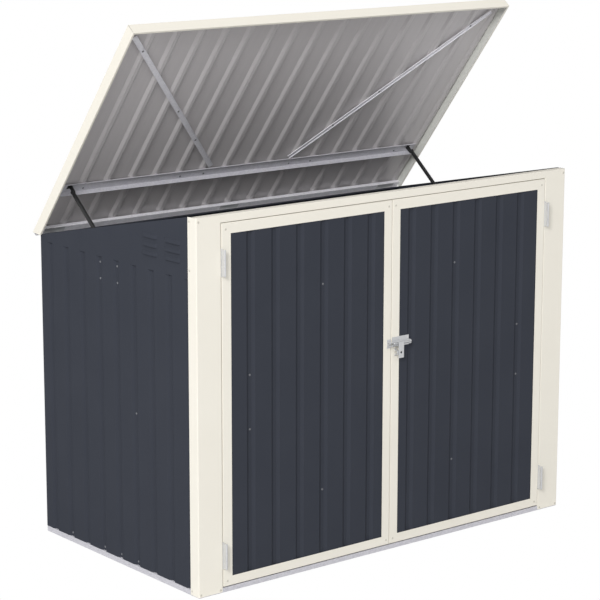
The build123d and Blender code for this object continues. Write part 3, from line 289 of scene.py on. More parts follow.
# ---------------------------------------------------------------- front posts and header
# Two wide posts and the header between them frame the doorway. They are folded from 1 mm
# galvanised sheet and powder coated cream. The posts wrap the front corners of the box, and
# their tops are cut to the slope of the side walls.
POST_LEG = 48.0
POST_BEND = 3.0
POST_RETURN = 20.0
HEADER_FLANGE = 30.0
HEADER_LIP = 12.0
HEADER_BOTTOM = 1293.3
STOP_FACE = 23.0
LEVEL_TOP = 38.5
NEARLY = 0.1
CREAMS = ("#efebe0", "#ebe6da")
PAINT_CLOUD = 250.0
ORANGE_PEEL = 3.0
PEEL_DEPTH = 0.02


def make_cream(name, codes):
    """Polyester powder coat: a satin film 0.08 mm thick that flows out with a fine orange peel,
    1.5 mm apart on the real one and drawn 3 mm apart so that it shows."""
    material, place = new_material(name)
    clouds = {"Vector": place, "Scale": 1 / (PAINT_CLOUD * MM)}
    cloud = add_node(material, "ShaderNodeTexNoise", "Fac", clouds)
    peels = {"Vector": place, "Scale": 1 / (ORANGE_PEEL * MM), "Detail": 1.0}
    peel = add_node(material, "ShaderNodeTexNoise", "Fac", peels)
    relief = {"Height": peel, "Distance": PEEL_DEPTH * MM}
    normal = add_node(material, "ShaderNodeBump", "Normal", relief)
    coat(material, codes, cloud, peel, {"Normal": normal, "IOR": 1.5}, roughness=(0.38, 0.46))
    return material


cream = make_cream("cream_powder_coat", CREAMS)
post_low, post_high = box("front_post_left")
header_low = box("header_front")[0]
header_face = post_high[0] - POST_BEND
front_height = post_high[2]
back_top = box("wall_back_left")[1][2]
knee = front_edge + LEVEL_TOP
roof_slope = (front_height - back_top) / (back_edge - knee)


def roof(y):
    """Height of the side walls' tops: level in front of the knee, then falling to the back."""
    return np.minimum(front_height, back_top + (back_edge - y) * roof_slope)


def post_foot(x, y):
    """The posts' lower end: the leg in the doorway stands on the sill, the rest nearly reaches
    the ground."""
    in_doorway = (x > post_high[0] - 2 * POST_BEND) & (y > front_edge + SECTION)
    return np.where(in_doorway, SILL, post_low[2])


def post_top(x, y):
    """The posts' upper end: the fold into the doorway stops under the header, the rest follows
    the slope of the roof."""
    return np.where(x > header_face - NEARLY, HEADER_BOTTOM, roof(y))


def header_start(y, z):
    """The header's left end: its top flange and lip reach over the posts, the rest butts against
    the post's face."""
    over_post = (y > front_edge + SECTION) & (z > HEADER_BOTTOM + SECTION)
    return np.where(over_post, header_low[0], header_face)


post_line = [
    (left_edge, front_edge + POST_LEG),
    (left_edge, front_edge),
    (post_high[0], front_edge),
    (post_high[0], front_edge + POST_RETURN),
]
level = plane((0, 0, 0), (1, 0, 0), (0, 1, 0))
for name, side in SIDES:
    ends = (post_foot, post_top)
    post = folded(f"corner_post_{name}", post_line, ends, level, bend=POST_BEND, side=side)
    dress(post, [cream], "store", "cream_paint", f"front_post_{name}")

header_line = [
    (front_edge + HEADER_FLANGE, front_height - HEADER_LIP),
    (front_edge + HEADER_FLANGE, front_height),
    (front_edge, front_height),
    (front_edge, HEADER_BOTTOM),
    (front_edge + STOP_FACE, HEADER_BOTTOM),
    (front_edge + STOP_FACE, header_low[2]),
]
upright = plane((0, 0, 0), (0, 1, 0), (0, 0, 1))
ends = (header_start, lambda y, z: -header_start(y, z))
header = folded("door_header", header_line, ends, upright)
dress(header, [cream], "store", "cream_paint", "header_front")

# ---------------------------------------------------------------- side walls
# Each side is one 0.5 mm sheet, coil coated anthracite. Grooves are pressed inwards up to a plain
# strip along the top, where two columns of louvres are pressed outwards for ventilation.
SHEET = 0.5
GROOVE_DEPTH = 7.0
GROOVE_MOUTH = 36.0
GROOVE_FLOOR = 13.0
GROOVE_BEND = 3.0
GROOVE_TOP = 1105.0
GROOVE_RUNOUT = 6.0
SLOPE_PLACES = 8
SIDE_GROOVE_FIRST = 54.5
SIDE_GROOVE_PITCH = 105.5
SIDE_GROOVES = 9
LOUVRE_COLUMNS = ((91.0, 182.0), (225.0, 311.0))
LOUVRE_ROWS = (1156.0, 1186.0, 1216.0)
LOUVRE_HEIGHT = 14.0
LOUVRE_SLOT = 9.0
LOUVRE_REACH = 6.0
HOOD_PLACES = (25, 8)
ABOVE_LOUVRES = 1232.0
TOP_ROWS = 4
ANTHRACITES = ("#393c44", "#3d4048")
SHEET_WAVE = 170.0
WAVE_DEPTH = 1.2
PAINT_GRAIN = 2.5
GRAIN_DEPTH = 0.01


def make_anthracite():
    """Coil-coated sheet in anthracite: a smooth satin paint, rolled on flat before the sheet was
    pressed. It waves a little between the grooves, and the paint has a fine grain."""
    material, place = new_material("anthracite_coil_coat")
    waves = {"Vector": place, "Scale": 1 / (SHEET_WAVE * MM)}
    wave = add_node(material, "ShaderNodeTexNoise", "Fac", waves)
    grains = {"Vector": place, "Scale": 1 / (PAINT_GRAIN * MM), "Detail": 1.0}
    grain = add_node(material, "ShaderNodeTexNoise", "Fac", grains)
    relief = {"Height": wave, "Distance": WAVE_DEPTH * MM}
    waved = add_node(material, "ShaderNodeBump", "Normal", relief)
    relief = {"Height": grain, "Distance": GRAIN_DEPTH * MM, "Normal": waved}
    normal = add_node(material, "ShaderNodeBump", "Normal", relief)
    inputs = {"Normal": normal, "Specular IOR Level": 0.02}
    coat(material, ANTHRACITES, wave, grain, inputs, roughness=(0.42, 0.52))
    return material


def pressed(start, end, centres, stops=()):
    """Places along a sheet, to the micrometre, and how deep it lies there: the outline of a flat
    sheet with grooves, its corners rounded to the bend, with even steps on each flank and a place
    at each stop."""
    corners = [(start, 0.0)]
    for centre in centres:
        corners += [(centre - GROOVE_MOUTH / 2, 0.0), (centre - GROOVE_FLOOR / 2, GROOVE_DEPTH)]
        corners += [(centre + GROOVE_FLOOR / 2, GROOVE_DEPTH), (centre + GROOVE_MOUTH / 2, 0.0)]
    line = rounded(corners + [(end, 0.0)], GROOVE_BEND, steps=4)
    flank = np.linspace(GROOVE_FLOOR / 2, GROOVE_MOUTH / 2, SLOPE_PLACES)
    flanks = np.add.outer(centres, np.concatenate([-flank, flank])).ravel()
    places = np.unique(np.concatenate([line[:, 0], flanks, stops]).round(decimals=3))
    places = places[(places >= start) & (places <= end)]
    return places, np.interp(places, line[:, 0], line[:, 1])


def groove_depths(depth, heights, top):
    """How deep a sheet lies at each place and height. A groove's end slopes evenly up to its top
    over the run-out, and the shallower of slope and groove counts, so that they meet in mitres."""
    return np.minimum(depth, GROOVE_DEPTH * np.clip((top - heights) / GROOVE_RUNOUT, 0, 1))


def runout_rows(top):
    """Heights in even steps up the slope at a groove's top."""
    return np.linspace(top - GROOVE_RUNOUT, top, SLOPE_PLACES)


anthracite = make_anthracite()
wall_low, wall_high = box("wall_left")
wall_face = left_edge + SECTION
side_grooves = front_edge + SIDE_GROOVE_FIRST + SIDE_GROOVE_PITCH * np.arange(SIDE_GROOVES)
louvre_stops = front_edge + np.array(LOUVRE_COLUMNS).ravel()
wall_stops = np.concatenate([louvre_stops, [knee]])
wall_y, wall_depth = pressed(front_edge + POST_BEND, wall_high[1], side_grooves, wall_stops)
slot_rows = np.array([(row, row + LOUVRE_SLOT) for row in LOUVRE_ROWS]).ravel()
top_rows = np.linspace(ABOVE_LOUVRES, front_height, TOP_ROWS)
wall_z = np.concatenate([[wall_low[2]], runout_rows(GROOVE_TOP), slot_rows, top_rows])

z = np.minimum(wall_z[None, :], roof(wall_y)[:, None])
y = np.broadcast_to(wall_y[:, None], z.shape)
x = wall_face + groove_depths(wall_depth[:, None], z, GROOVE_TOP)
wall_grid = np.stack([x, y, z], axis=-1)

# Cells that lie wholly above the roof line or in a louvre's slot are left out.
cell_y = (wall_y[1:] + wall_y[:-1])[:, None] / 2 - front_edge
cell_z = (wall_z[1:] + wall_z[:-1])[None, :] / 2
keep = wall_z[None, :-1] < np.maximum(roof(wall_y[1:]), roof(wall_y[:-1]))[:, None]
for column_front, column_back in LOUVRE_COLUMNS:
    in_column = (cell_y > column_front) & (cell_y < column_back)
    for row in LOUVRE_ROWS:
        keep &= ~(in_column & (cell_z > row) & (cell_z < row + LOUVRE_SLOT))


def hood(column_front, column_back, row):
    """A louvre's hood. Across, it swells from nothing at either end as 1 - |u| to the eighth, u
    from -1 to 1. Up, it falls from its lip to nothing as 1 - v squared, v from 0 to 1."""
    u = np.linspace(-1, 1, HOOD_PLACES[0])[:, None]
    v = np.linspace(0, 1, HOOD_PLACES[1])[None, :]
    swell = (1 - np.abs(u) ** 8) * (1 - v**2)
    x = wall_face - LOUVRE_REACH * swell
    y = front_edge + (column_front + column_back) / 2 + u * (column_back - column_front) / 2
    z = row + v * LOUVRE_HEIGHT
    return np.stack(np.broadcast_arrays(x, y, z), axis=-1)


def sheets(name, grids, keeps, inward, side=1):
    """One mesh of several pressed sheets: each grid is an outer face, and its inner face is the
    same grid moved inwards by the sheet's thickness."""
    points, faces, count = [], [], 0
    for grid, kept in zip(grids, keeps):
        points.append(np.stack([grid, grid + inward]).reshape(-1, 3))
        faces.append(shell_faces(*grid.shape[:2], kept)[0] + count)
        count += len(points[-1])
    return mesh_piece(name, np.concatenate(points), np.concatenate(faces), side)


hoods = [hood(*column, row) for column in LOUVRE_COLUMNS for row in LOUVRE_ROWS]
wall_grids = [grid[::-1] for grid in (wall_grid, *hoods)]
wall_keeps = [keep[::-1]] + [None] * len(hoods)
for name, side in SIDES:
    wall = sheets(f"side_wall_{name}", wall_grids, wall_keeps, (SHEET, 0, 0), side)
    dress(wall, [anthracite], "store", "anthracite_paint", f"wall_{name}")

# ---------------------------------------------------------------- back wall
# Two coil-coated sheets like the sides, without louvres. They meet edge to edge in the middle and
# stand on the back rail.
BACK_GROOVE_PITCH = 107.0
BACK_GROOVES = 8
SEAM_GAP = 0.02
back_grooves = -BACK_GROOVE_PITCH * (np.arange(BACK_GROOVES)[::-1] + 0.5)
back_x, back_depth = pressed(wall_face, -SEAM_GAP, back_grooves)
back_z = np.concatenate([[wall_low[2]], runout_rows(GROOVE_TOP), [back_top]])
back_y = back_edge - groove_depths(back_depth[:, None], back_z[None, :], GROOVE_TOP)
back_grid = np.stack(np.broadcast_arrays(back_x[:, None], back_y, back_z[None, :]), axis=-1)
for name, side in SIDES:
    wall = sheets(f"back_wall_{name}", [back_grid[::-1]], [None], (0, -SHEET, 0), side)
    dress(wall, [anthracite], "store", "anthracite_paint", f"wall_back_{name}")

# ---------------------------------------------------------------- inner frame of the box
# Angles folded from 1 mm sheet stiffen the back corners and the tops of the walls: the rear
# posts are bare galvanised steel, and the rails along the tops are painted like the sheets.


def finish_node(node, material):
    """Gives a CAD node that is shown as it is its material."""
    mesh = frame["nodes"][node].data
    mesh.materials.clear()
    mesh.materials.append(material)


for node in ("rear_post_left", "rear_post_right"):
    finish_node(node, galvanised)
for node in ("top_rail_left", "top_rail_right", "top_rail_back"):
    finish_node(node, anthracite)

# ---------------------------------------------------------------- doors
# Each door is a cream frame folded from 0.8 mm sheet round an anthracite panel with six grooves,
# stiffened inside by two flat braces. The frame's face is widest at the hinges.
TRIM = 0.8
TRIM_BEND = 1.5
DOOR_DEPTH = 22.0
FRAME_RETURN = 15.0
FRAME_WIDTHS = {"hinge": 37.0, "meeting": 35.0, "top": 36.1, "bottom": 32.7}
FRAME_MEMBERS = ("hinge_stile", "meeting_stile", "top_rail", "bottom_rail")
DRAWN_WIDTH = 100.0
PANEL_RECESS = 1.6
GROOVE_COVER = 2.0
DOOR_GROOVE_FIRST = 121.7
DOOR_GROOVE_PITCH = 107.0
DOOR_GROOVES = 6

door_low, door_high = box("door_left_hinge_stile")
door_high[0] = box("door_left_meeting_stile")[1][0]
panel_low, panel_high = box("door_left_panel")
door_grooves = door_low[0] + DOOR_GROOVE_FIRST + DOOR_GROOVE_PITCH * np.arange(DOOR_GROOVES)
panel_x, panel_depth = pressed(panel_low[0], panel_high[0], door_grooves)
panel_groove_top = door_high[2] - FRAME_WIDTHS["top"] + GROOVE_COVER
panel_z = [[panel_low[2]], runout_rows(panel_groove_top), [panel_high[2]]]
panel_z = np.concatenate(panel_z)[None, :]
panel_y = groove_depths(panel_depth[:, None], panel_z, panel_groove_top)
panel_y = panel_y + front_edge + PANEL_RECESS
panel_grid = np.stack(np.broadcast_arrays(panel_x[:, None], panel_y, panel_z), axis=-1)


def door_frame(name, side):
    """The frame's section, rounded at its bends, carried round the door with mitred corners. The
    section runs from the return at the back over the outer edge to the inner edge of the face,
    which is drawn wide and then moved to each member's width."""
    corners = [(FRAME_RETURN, DOOR_DEPTH), (0.0, DOOR_DEPTH), (0.0, 0.0), (DRAWN_WIDTH, 0.0)]
    section = rounded(corners, TRIM_BEND)
    grids = []
    for line in (section, beside(section, -TRIM)):
        drawn = line[:, 0]
        inset = {
            member: np.where(drawn > DRAWN_WIDTH / 2, drawn - DRAWN_WIDTH + width, drawn)
            for member, width in FRAME_WIDTHS.items()
        }
        low_x, high_x = door_low[0] + inset["hinge"], door_high[0] - inset["meeting"]
        low_z, high_z = door_low[2] + inset["bottom"], door_high[2] - inset["top"]
        x = np.stack([low_x, low_x, high_x, high_x, low_x], axis=1)
        z = np.stack([low_z, high_z, high_z, low_z, low_z], axis=1)
        y = np.broadcast_to(front_edge + line[:, 1:], x.shape)
        grids.append(np.stack([x, y, z], axis=-1))
    faces = shell_faces(len(section), 5, ring=True)[0]
    return mesh_piece(name, np.stack(grids), faces, side)


for name, side in SIDES:
    body = f"door_{name}"
    panel = sheets(f"door_panel_{name}", [panel_grid], [None], (0, SHEET, 0), side)
    dress(panel, [anthracite], body, "anthracite_paint", f"{body}_panel")
    members = [f"{body}_{part}" for part in FRAME_MEMBERS]
    dress(door_frame(f"door_frame_{name}", side), [cream], body, "cream_paint", *members)
    finish_node(f"{body}_braces", galvanised)

# ---------------------------------------------------------------- door hinges
# Steel butt hinges, zinc plated, that stand out from the gap between post and door so that the
# doors swing right back. Two rolled knuckles belong to the post and one to the door.
ZINC_PLATE_GREYS = ("#cdced0", "#d8d9da")
ZINC_GRAIN = 1.5


def make_zinc(name, codes, metallic, roughness):
    """Zinc on small steel parts, electroplated or baked on as flakes: one even grey with a very
    fine grain, bright when it is plated and dull when it is flakes."""
    material, place = new_material(name)
    grains = {"Vector": place, "Scale": 1 / (ZINC_GRAIN * MM), "Detail": 1.0}
    grain = add_node(material, "ShaderNodeTexNoise", "Fac", grains)
    coat(material, codes, grain, grain, {"Metallic": metallic}, roughness)
    return material


zinc_plate = make_zinc("zinc_plate", ZINC_PLATE_GREYS, metallic=0.4, roughness=(0.3, 0.4))
for node in ("door_hinge_post_leaves", "door_hinge_pins"):
    finish_node(node, zinc_plate)
for name, side in SIDES:
    finish_node(f"door_{name}_hinge_leaves", zinc_plate)

# ---------------------------------------------------------------- latch
# A round steel bolt slides in a folded channel on the right door and enters another on the left
# one. Its hasp hangs in front, so that a padlock can join it to the staple beside it.
for node in ("latch_base", "latch_keeper", "padlock_staple", "latch_bolt"):
    finish_node(node, zinc_plate)

# ---------------------------------------------------------------- lid sheets
# Three sheets of 0.6 mm steel with trapezoidal ribs pressed up the slope, lapped on a rib at
# either side of the middle. They are coil coated anthracite outside and grey inside.
LID_SHEET = 0.6
RIB_PITCH = 107.0
RIBS = 19
LAP = 2 * RIB_PITCH
LID_ANGLE = radians(51.6716)
LID_LENGTH = 1017.0
PIN_ALONG_LID = 11.3
PIN_UNDER_LID = 28.0
BACK_COAT_GREYS = ("#cbc7c8", "#d3cfd0")
ROLLING_STREAK = 12.0
STREAK_STRETCH = 20


def make_back_coat(name, codes):
    """The grey coat on the hidden side of coil-coated sheet: thin and satin, with faint streaks
    12 mm wide along the way that it was rolled."""
    material, place = new_material(name)
    stretch = {"Vector": place, "Scale": (1.0, 1 / STREAK_STRETCH, 1 / STREAK_STRETCH)}
    along = add_node(material, "ShaderNodeMapping", "Vector", stretch)
    streaks = {"Vector": along, "Scale": 1 / (ROLLING_STREAK * MM)}
    streak = add_node(material, "ShaderNodeTexNoise", "Fac", streaks)
    coat(material, codes, streak, streak, {"Metallic": 0.1}, roughness=(0.34, 0.44))
    return material


back_coat = make_back_coat("grey_back_coat", BACK_COAT_GREYS)
pin = np.array(next(j for j in frame["joints"] if j["name"] == "lid_hinge")["pos_m"]) / MM
along_lid = np.array([0, -cos(LID_ANGLE), sin(LID_ANGLE)])
under_lid = np.array([0, -sin(LID_ANGLE), -cos(LID_ANGLE)])
lid_edge = pin - PIN_ALONG_LID * along_lid - PIN_UNDER_LID * under_lid
lid_end = plane(lid_edge, (1, 0, 0), under_lid)  # across the lid, under it, down its slope
lid_section = plane(lid_edge, along_lid, under_lid)  # up its slope, under it, across it
lid_side = box("lid_rim_left")[0][0]
rim_inside = lid_side + TRIM
ribs = RIB_PITCH * (np.arange(RIBS) - RIBS // 2)
rib_reach = ribs[-1] + GROOVE_MOUTH


def lid_sheet(name, start, end, level, side):
    """A ribbed sheet between two places across the lid, its top face this far below the lid's. Its
    ribs are pressed like the walls' grooves."""
    x, depth = pressed(-rib_reach, rib_reach, ribs, (start, end))
    inside = (x >= start - MERGE_DISTANCE) & (x <= end + MERGE_DISTANCE)
    x, depth = x[inside][:, None], depth[inside][:, None]
    s = np.array([[TRIM, LID_LENGTH - TRIM]])
    grids = [lid_end(x, level + depth + t, -s[:, ::-1]) for t in (0, LID_SHEET)]
    faces, back = shell_faces(len(x), 2)
    return mesh_piece(name, np.stack(grids), faces, side, back)


for name, start, end, level, side in (
    ("left", rim_inside, GROOVE_FLOOR / 2 - LAP, 0.0, 1),
    ("middle", -LAP, LAP, LID_SHEET, 1),
    ("right", rim_inside, GROOVE_FLOOR / 2 - LAP, 0.0, -1),
):
    sheet = lid_sheet(f"roof_sheet_{name}", start, end, level, side)
    dress(sheet, [anthracite, back_coat], "lid", "lid_sheet", f"lid_sheet_{name}")

# ---------------------------------------------------------------- lid rims
# A cream channel folded from 0.8 mm sheet runs round the front and sides of the lid: a flange on
# top of the sheets, a deep face and a narrow hem below, mitred at the front corners. Inside it has
# a paler grey coat than the sheets.
RIM_DEPTH = 40.0
RIM_FLANGE = 25.0
RIM_HEM = 8.0
RIM_CORNER = 26.0
PALE_COAT_GREYS = ("#e2e3dd", "#e8e9e3")

pale_coat = make_back_coat("pale_back_coat", PALE_COAT_GREYS)
side_rim_line = [
    (lid_side + RIM_HEM, RIM_DEPTH),
    (lid_side, RIM_DEPTH),
    (lid_side, -TRIM),
    (lid_side + RIM_FLANGE, -TRIM),
]


def mitre(across, off):
    """The end of a rim that meets another one at the lid's front corner, cut at 45 degrees."""
    return across - lid_side - LID_LENGTH


def side_rim_back(x, off):
    """The side rims' back ends: square, with the lower corner cut off at 45 degrees."""
    return -np.maximum(0, off - RIM_DEPTH + RIM_CORNER)


for name, side in SIDES:
    ends = (mitre, side_rim_back)
    title = f"side_rim_{name}"
    rim = folded(title, side_rim_line, ends, lid_end, TRIM, TRIM_BEND, side, lined=True)
    dress(rim, [cream, pale_coat], "lid", "cream_paint", f"lid_rim_{name}")

front_rim_line = [
    (LID_LENGTH - RIM_FLANGE, -TRIM),
    (LID_LENGTH, -TRIM),
    (LID_LENGTH, RIM_DEPTH),
    (LID_LENGTH - RIM_HEM, RIM_DEPTH),
]
ends = (lambda s, off: -mitre(s, off), mitre)
rim = folded("front_rim", front_rim_line, ends, lid_section, TRIM, TRIM_BEND, lined=True)
dress(rim, [cream, pale_coat], "lid", "cream_paint", "lid_rim_front")

# ---------------------------------------------------------------- lid rails and braces
# Under the sheets, members folded from galvanised sheet and screwed to the ribs: a channel along
# the rear edge for the hinges, a wide cross rail that the gas struts push on, and a brace to each
# front corner. The channel and the braces take a lighter copy of the galvanised steel, a painted
# highlight for the light that they catch; the cross rail keeps the plain, duller one.
RIB_FACE = GROOVE_DEPTH + 2 * LID_SHEET
REAR_RAIL = (2.0, 34.0)
REAR_LEG = 13.0
CROSS_RAIL = (209.0, 249.0)
CROSS_LEG = 20.0
CROSS_LIP = 5.0
CROSS_INSET = 13.5
BRACE_WIDTH = 20.0
BRACE_LIP = 4.0
BRACE_OUTER = (31.5, 52.0)
BRACE_INNER = (185.5, 258.0)
# A lighter copy of the galvanised steel: a painted highlight on the rear rail and the braces.
HIGHLIT_ZINC_GREYS = ("#e5e4ea", "#f1f0f5")

highlit_galvanised = make_galvanised("new_galvanised_steel", HIGHLIT_ZINC_GREYS)
rear_web = RIB_FACE + REAR_LEG
rear_line = [
    (REAR_RAIL[1], RIB_FACE),
    (REAR_RAIL[1], rear_web),
    (REAR_RAIL[0], rear_web),
    (REAR_RAIL[0], RIB_FACE),
]
ends = (rim_inside, -rim_inside)
rail = folded("rear_rail", rear_line, ends, lid_section, TRIM, TRIM_BEND)
dress(rail, [highlit_galvanised], "lid", "galvanised", "lid_rear_rail")

cross_line = [
    (CROSS_RAIL[0], RIB_FACE + CROSS_LEG),
    (CROSS_RAIL[0], RIB_FACE),
    (CROSS_RAIL[1], RIB_FACE),
    (CROSS_RAIL[1], RIB_FACE + CROSS_LIP),
]
cross_end = left_edge + CROSS_INSET
rail = folded("cross_rail", cross_line, (cross_end, -cross_end), lid_section)
dress(rail, [galvanised], "lid", "galvanised", "lid_cross_rail")

brace_outer = lid_section(LID_LENGTH - BRACE_OUTER[1], RIB_FACE, left_edge + BRACE_OUTER[0])
brace_inner = lid_section(BRACE_INNER[1], RIB_FACE, -BRACE_INNER[0])
brace_length = np.linalg.norm(brace_outer - brace_inner)
brace_way = (brace_outer - brace_inner) / brace_length
brace_place = plane(brace_inner, np.cross(under_lid, brace_way), under_lid)
brace_line = [
    (-BRACE_WIDTH / 2, BRACE_LIP),
    (-BRACE_WIDTH / 2, 0.0),
    (BRACE_WIDTH / 2, 0.0),
    (BRACE_WIDTH / 2, BRACE_LIP),
]
for name, side in SIDES:
    ends = (0, brace_length)
    title = f"diagonal_brace_{name}"
    brace = folded(title, brace_line, ends, brace_place, TRIM, TRIM_BEND, side)
    dress(brace, [highlit_galvanised], "lid", "galvanised", f"lid_brace_{name}")

# ---------------------------------------------------------------- lid hinges
# Three butt hinges of 1.2 mm zinc-plated steel: one leaf lies on the rear rail and the other on
# the back of the box, round a pin just behind its top edge.
for node in ("lid_hinge_leaves", "lid_hinge_wall_leaves", "lid_hinge_pins"):
    finish_node(node, zinc_plate)

# ---------------------------------------------------------------- gas struts
# Two gas springs hold the lid open. The tube is black enamelled steel and turns on a bracket on
# the cross rail; the plated rod runs out of it to a bracket on the side wall.
ENAMEL_BLACKS = ("#19191a", "#1d1d1e")
ENAMEL_PEEL = 2.0
ENAMEL_DEPTH = 0.01
ROD_GREYS = ("#8b8b8f", "#939397")
GRINDING_MARK = 0.8


def make_black_enamel():
    """Black stoving enamel on steel: a thin glossy coat with a very fine orange peel, drawn 2 mm
    apart so that it shows."""
    material, place = new_material("black_enamel")
    peels = {"Vector": place, "Scale": 1 / (ENAMEL_PEEL * MM)}
    peel = add_node(material, "ShaderNodeTexNoise", "Fac", peels)
    relief = {"Height": peel, "Distance": ENAMEL_DEPTH * MM}
    normal = add_node(material, "ShaderNodeBump", "Normal", relief)
    coat(material, ENAMEL_BLACKS, peel, peel, {"Normal": normal}, roughness=(0.25, 0.34))
    return material


def make_rod():
    """A ground and chrome-plated rod: nearly mirror bright, with hair-fine grinding marks drawn
    0.8 mm apart so that they show."""
    material, place = new_material("plated_rod")
    grinding = {"Vector": place, "Scale": 1 / (GRINDING_MARK * MM)}
    marks = add_node(material, "ShaderNodeTexNoise", "Fac", grinding)
    coat(material, ROD_GREYS, marks, marks, {"Metallic": 1.0}, roughness=(0.16, 0.26))
    return material


black_enamel = make_black_enamel()
plated_rod = make_rod()
for name, side in SIDES:
    finish_node(f"strut_cylinder_{name}", black_enamel)
    finish_node(f"strut_rod_{name}", plated_rod)
for node in ("lid_strut_brackets", "strut_brackets_wall"):
    finish_node(node, black_enamel)

# ---------------------------------------------------------------- screws
# Pan-head self-tapping screws with cross recesses, their steel coated with zinc flakes. Those on
# the posts and the door frames have their heads painted cream, drawn a little darker than the
# frames as painted shade round the small raised heads.
HEAD_RADIUS = 4.0
HEAD_HEIGHT = 2.0
HEAD_SKIRT = 0.7
HEAD_REACH = 3 * HEAD_RADIUS
RECESS_REACH = 2.3
RECESS_WIDTH = 0.45
RECESS_DEPTH = 1.1
HEAD_SIDES = 32
HEAD_STEPS = 12
SKEW = (0.3, 0.5, 0.81)
FLAKE_GREYS = ("#717276", "#7b7c80")
# The heads' cream, darker than the frames' cream as painted shade round the small heads.
SHADED_HEAD_CREAMS = ("#cfcbc0", "#c8c4b9")


def pan_head():
    """A head's half-section turned round: distances from the axis, and heights over a circle. It
    rises by a skirt and a half ellipse, the root of 1 - r squared, r from 0 to 1. The recess is a
    cross that lowers the top by a bell curve of the distance from the nearer arm, as far as its
    reach."""
    turn = np.linspace(0, 2 * pi, HEAD_SIDES + 1)
    dome = np.sin(np.linspace(0.5, 0, HEAD_STEPS) * pi)
    radius = HEAD_RADIUS * np.concatenate([[0, 1], dome])[:, None]
    a, b = radius * np.cos(turn), radius * np.sin(turn)
    height = HEAD_SKIRT + (HEAD_HEIGHT - HEAD_SKIRT) * np.sqrt(1 - (radius / HEAD_RADIUS) ** 2)
    height = np.broadcast_to(height, a.shape).copy()
    near = np.minimum(np.abs(a), np.abs(b)) / RECESS_WIDTH
    height -= RECESS_DEPTH * np.exp(-(near**2)) * (radius < RECESS_REACH)
    height[:2] = 0
    return a, b, height


def screw_heads(name, node, body, painted):
    """Pan heads in place of a node's plain ones. All of the node's points within reach of a first
    one make a head. It stands along its thinnest direction, away from the middle of the box, or
    under the lid. A function of its middle says whether it is painted cream, drawn a little darker
    as painted shade."""
    vertices = frame["nodes"][node].data.vertices
    points = np.empty(3 * len(vertices))
    vertices.foreach_get("co", points)
    points = points.reshape(-1, 3) / MM
    a, b, height = pan_head()
    cells = shell_faces(*a.shape)[0][: (a.shape[0] - 1) * HEAD_SIDES, ::-1]
    heads, faces, paint = [], [], []
    while len(points):
        near = np.linalg.norm(points - points[0], axis=1) < HEAD_REACH
        low, high = points[near].min(0), points[near].max(0)
        points = points[~near]
        middle = (low + high) / 2
        thin = np.argmin(high - low)
        outward = under_lid if body == "lid" else np.eye(3)[thin] * np.sign(middle[thin])
        across = np.cross(outward, SKEW)
        across /= np.linalg.norm(across)
        place = plane(middle - outward * HEAD_HEIGHT / 2, across, np.cross(outward, across))
        faces.append(cells + len(heads) * a.size)
        heads.append(place(a, b, height))
        paint.append(np.full(len(cells), painted(middle)))
    piece = mesh_piece(name, np.stack(heads), np.concatenate(faces), back=np.concatenate(paint))
    dress(piece, [zinc_flake, shaded_cream_heads], body, "screw_zinc", node)


zinc_flake = make_zinc("zinc_flake_coat", FLAKE_GREYS, metallic=0.3, roughness=(0.4, 0.5))
# Cream head paint drawn darker than the frames: painted shade round the small heads.
shaded_cream_heads = make_cream("beige_head_paint", SHADED_HEAD_CREAMS)
screw_heads("store_screws", "screws_store", "store", lambda at: at[1] < front_edge + POST_LEG)
for name, side in SIDES:
    body = f"door_{name}"
    screw_heads(f"{body}_screws", f"screws_{body}", body, lambda at: at[1] < front_edge)
screw_heads("lid_screws", "screws_lid", "lid", lambda at: False)

# ---------------------------------------------------------------- floor, light and camera
# A product studio, in metres: a white floor that runs out of sight, a white surround brighter at
# the left, in front and above, and one large soft light in front on the left. The camera sees
# floor and surround pure white.
FLOOR_REACH = 30.0
FLOOR_GREY = "#dedede"
SKY = 0.57
SKY_TILT = (-0.36, -0.26, 0.15)
KEY_PLACE = Vector((-12.3, -8.8, 9.0))
KEY_TARGET = Vector((0, 0, 0.7))
KEY_SIZE = 4.0
KEY_POWER = 1370.0
CAMERA_PLACE = (-5.1771, -6.4116, 2.636)
CAMERA_YAW = radians(38.74)
CAMERA_DOWN = radians(12.24)
CAMERA_ROLL = radians(0.09)
LENS = 135.7
SENSOR = 36.0

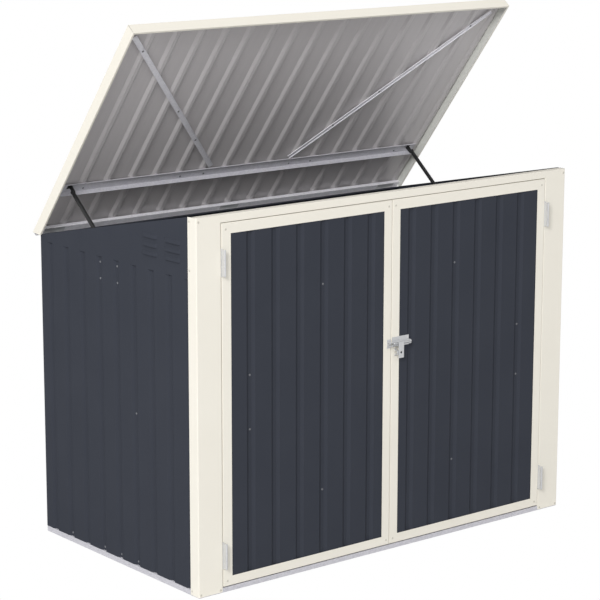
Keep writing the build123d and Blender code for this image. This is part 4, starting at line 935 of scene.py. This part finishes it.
floor_paint = new_material("white_floor")[0]
nodes = floor_paint.node_tree.nodes
feed(floor_paint, nodes["Principled BSDF"], {"Base Color": linear(FLOOR_GREY), "Roughness": 0.9})
seen = add_node(floor_paint, "ShaderNodeLightPath", "Is Camera Ray", {})
white = add_node(floor_paint, "ShaderNodeEmission", "Emission", {})
blend = {0: seen, 1: nodes["Principled BSDF"].outputs["BSDF"], 2: white}
surface = add_node(floor_paint, "ShaderNodeMixShader", "Shader", blend)
feed(floor_paint, nodes["Material Output"], {"Surface": surface})

corners = FLOOR_REACH * np.array([(-1, -1, 0), (1, -1, 0), (1, 1, 0), (-1, 1, 0)])
floor_mesh = bpy.data.meshes.new("floor")
floor_mesh.from_pydata(corners.tolist(), [], [(0, 1, 2, 3)])
floor_mesh.materials.append(floor_paint)
floor = bpy.data.objects.new("floor", floor_mesh)
bpy.context.scene.collection.objects.link(floor)

world = bpy.data.worlds.new("studio")
world.use_nodes = True
way = add_node(world, "ShaderNodeTexCoord", "Generated", {})
tilt = add_node(
    world, "ShaderNodeVectorMath", "Value", {0: way, 1: SKY_TILT}, operation="DOT_PRODUCT"
)
sky = add_node(world, "ShaderNodeMath", "Value", {0: tilt, 1: SKY}, operation="ADD")
seen = add_node(world, "ShaderNodeLightPath", "Is Camera Ray", {})
strength = add_node(world, "ShaderNodeMath", "Value", {0: seen, 1: sky}, operation="MAXIMUM")
background = {"Color": linear("#ffffff"), "Strength": strength}
feed(world, world.node_tree.nodes["Background"], background)
bpy.context.scene.world = world
bpy.context.scene.view_settings.view_transform = "Standard"

key_data = bpy.data.lights.new("key", "AREA")
key_data.size = KEY_SIZE
key_data.energy = KEY_POWER
key = bpy.data.objects.new("key", key_data)
key.location = KEY_PLACE
key.rotation_euler = (KEY_TARGET - KEY_PLACE).to_track_quat("-Z", "Y").to_euler()
bpy.context.scene.collection.objects.link(key)

camera_data = bpy.data.cameras.new("camera")
camera_data.lens = LENS
camera_data.sensor_width = SENSOR
camera = bpy.data.objects.new("camera", camera_data)
aim = Matrix.Rotation(-CAMERA_YAW, 4, "Z") @ Matrix.Rotation(pi / 2 - CAMERA_DOWN, 4, "X")
aim = aim @ Matrix.Rotation(CAMERA_ROLL, 4, "Z")
camera.matrix_world = Matrix.Translation(CAMERA_PLACE) @ aim
bpy.context.scene.collection.objects.link(camera)
bpy.context.scene.camera = camera
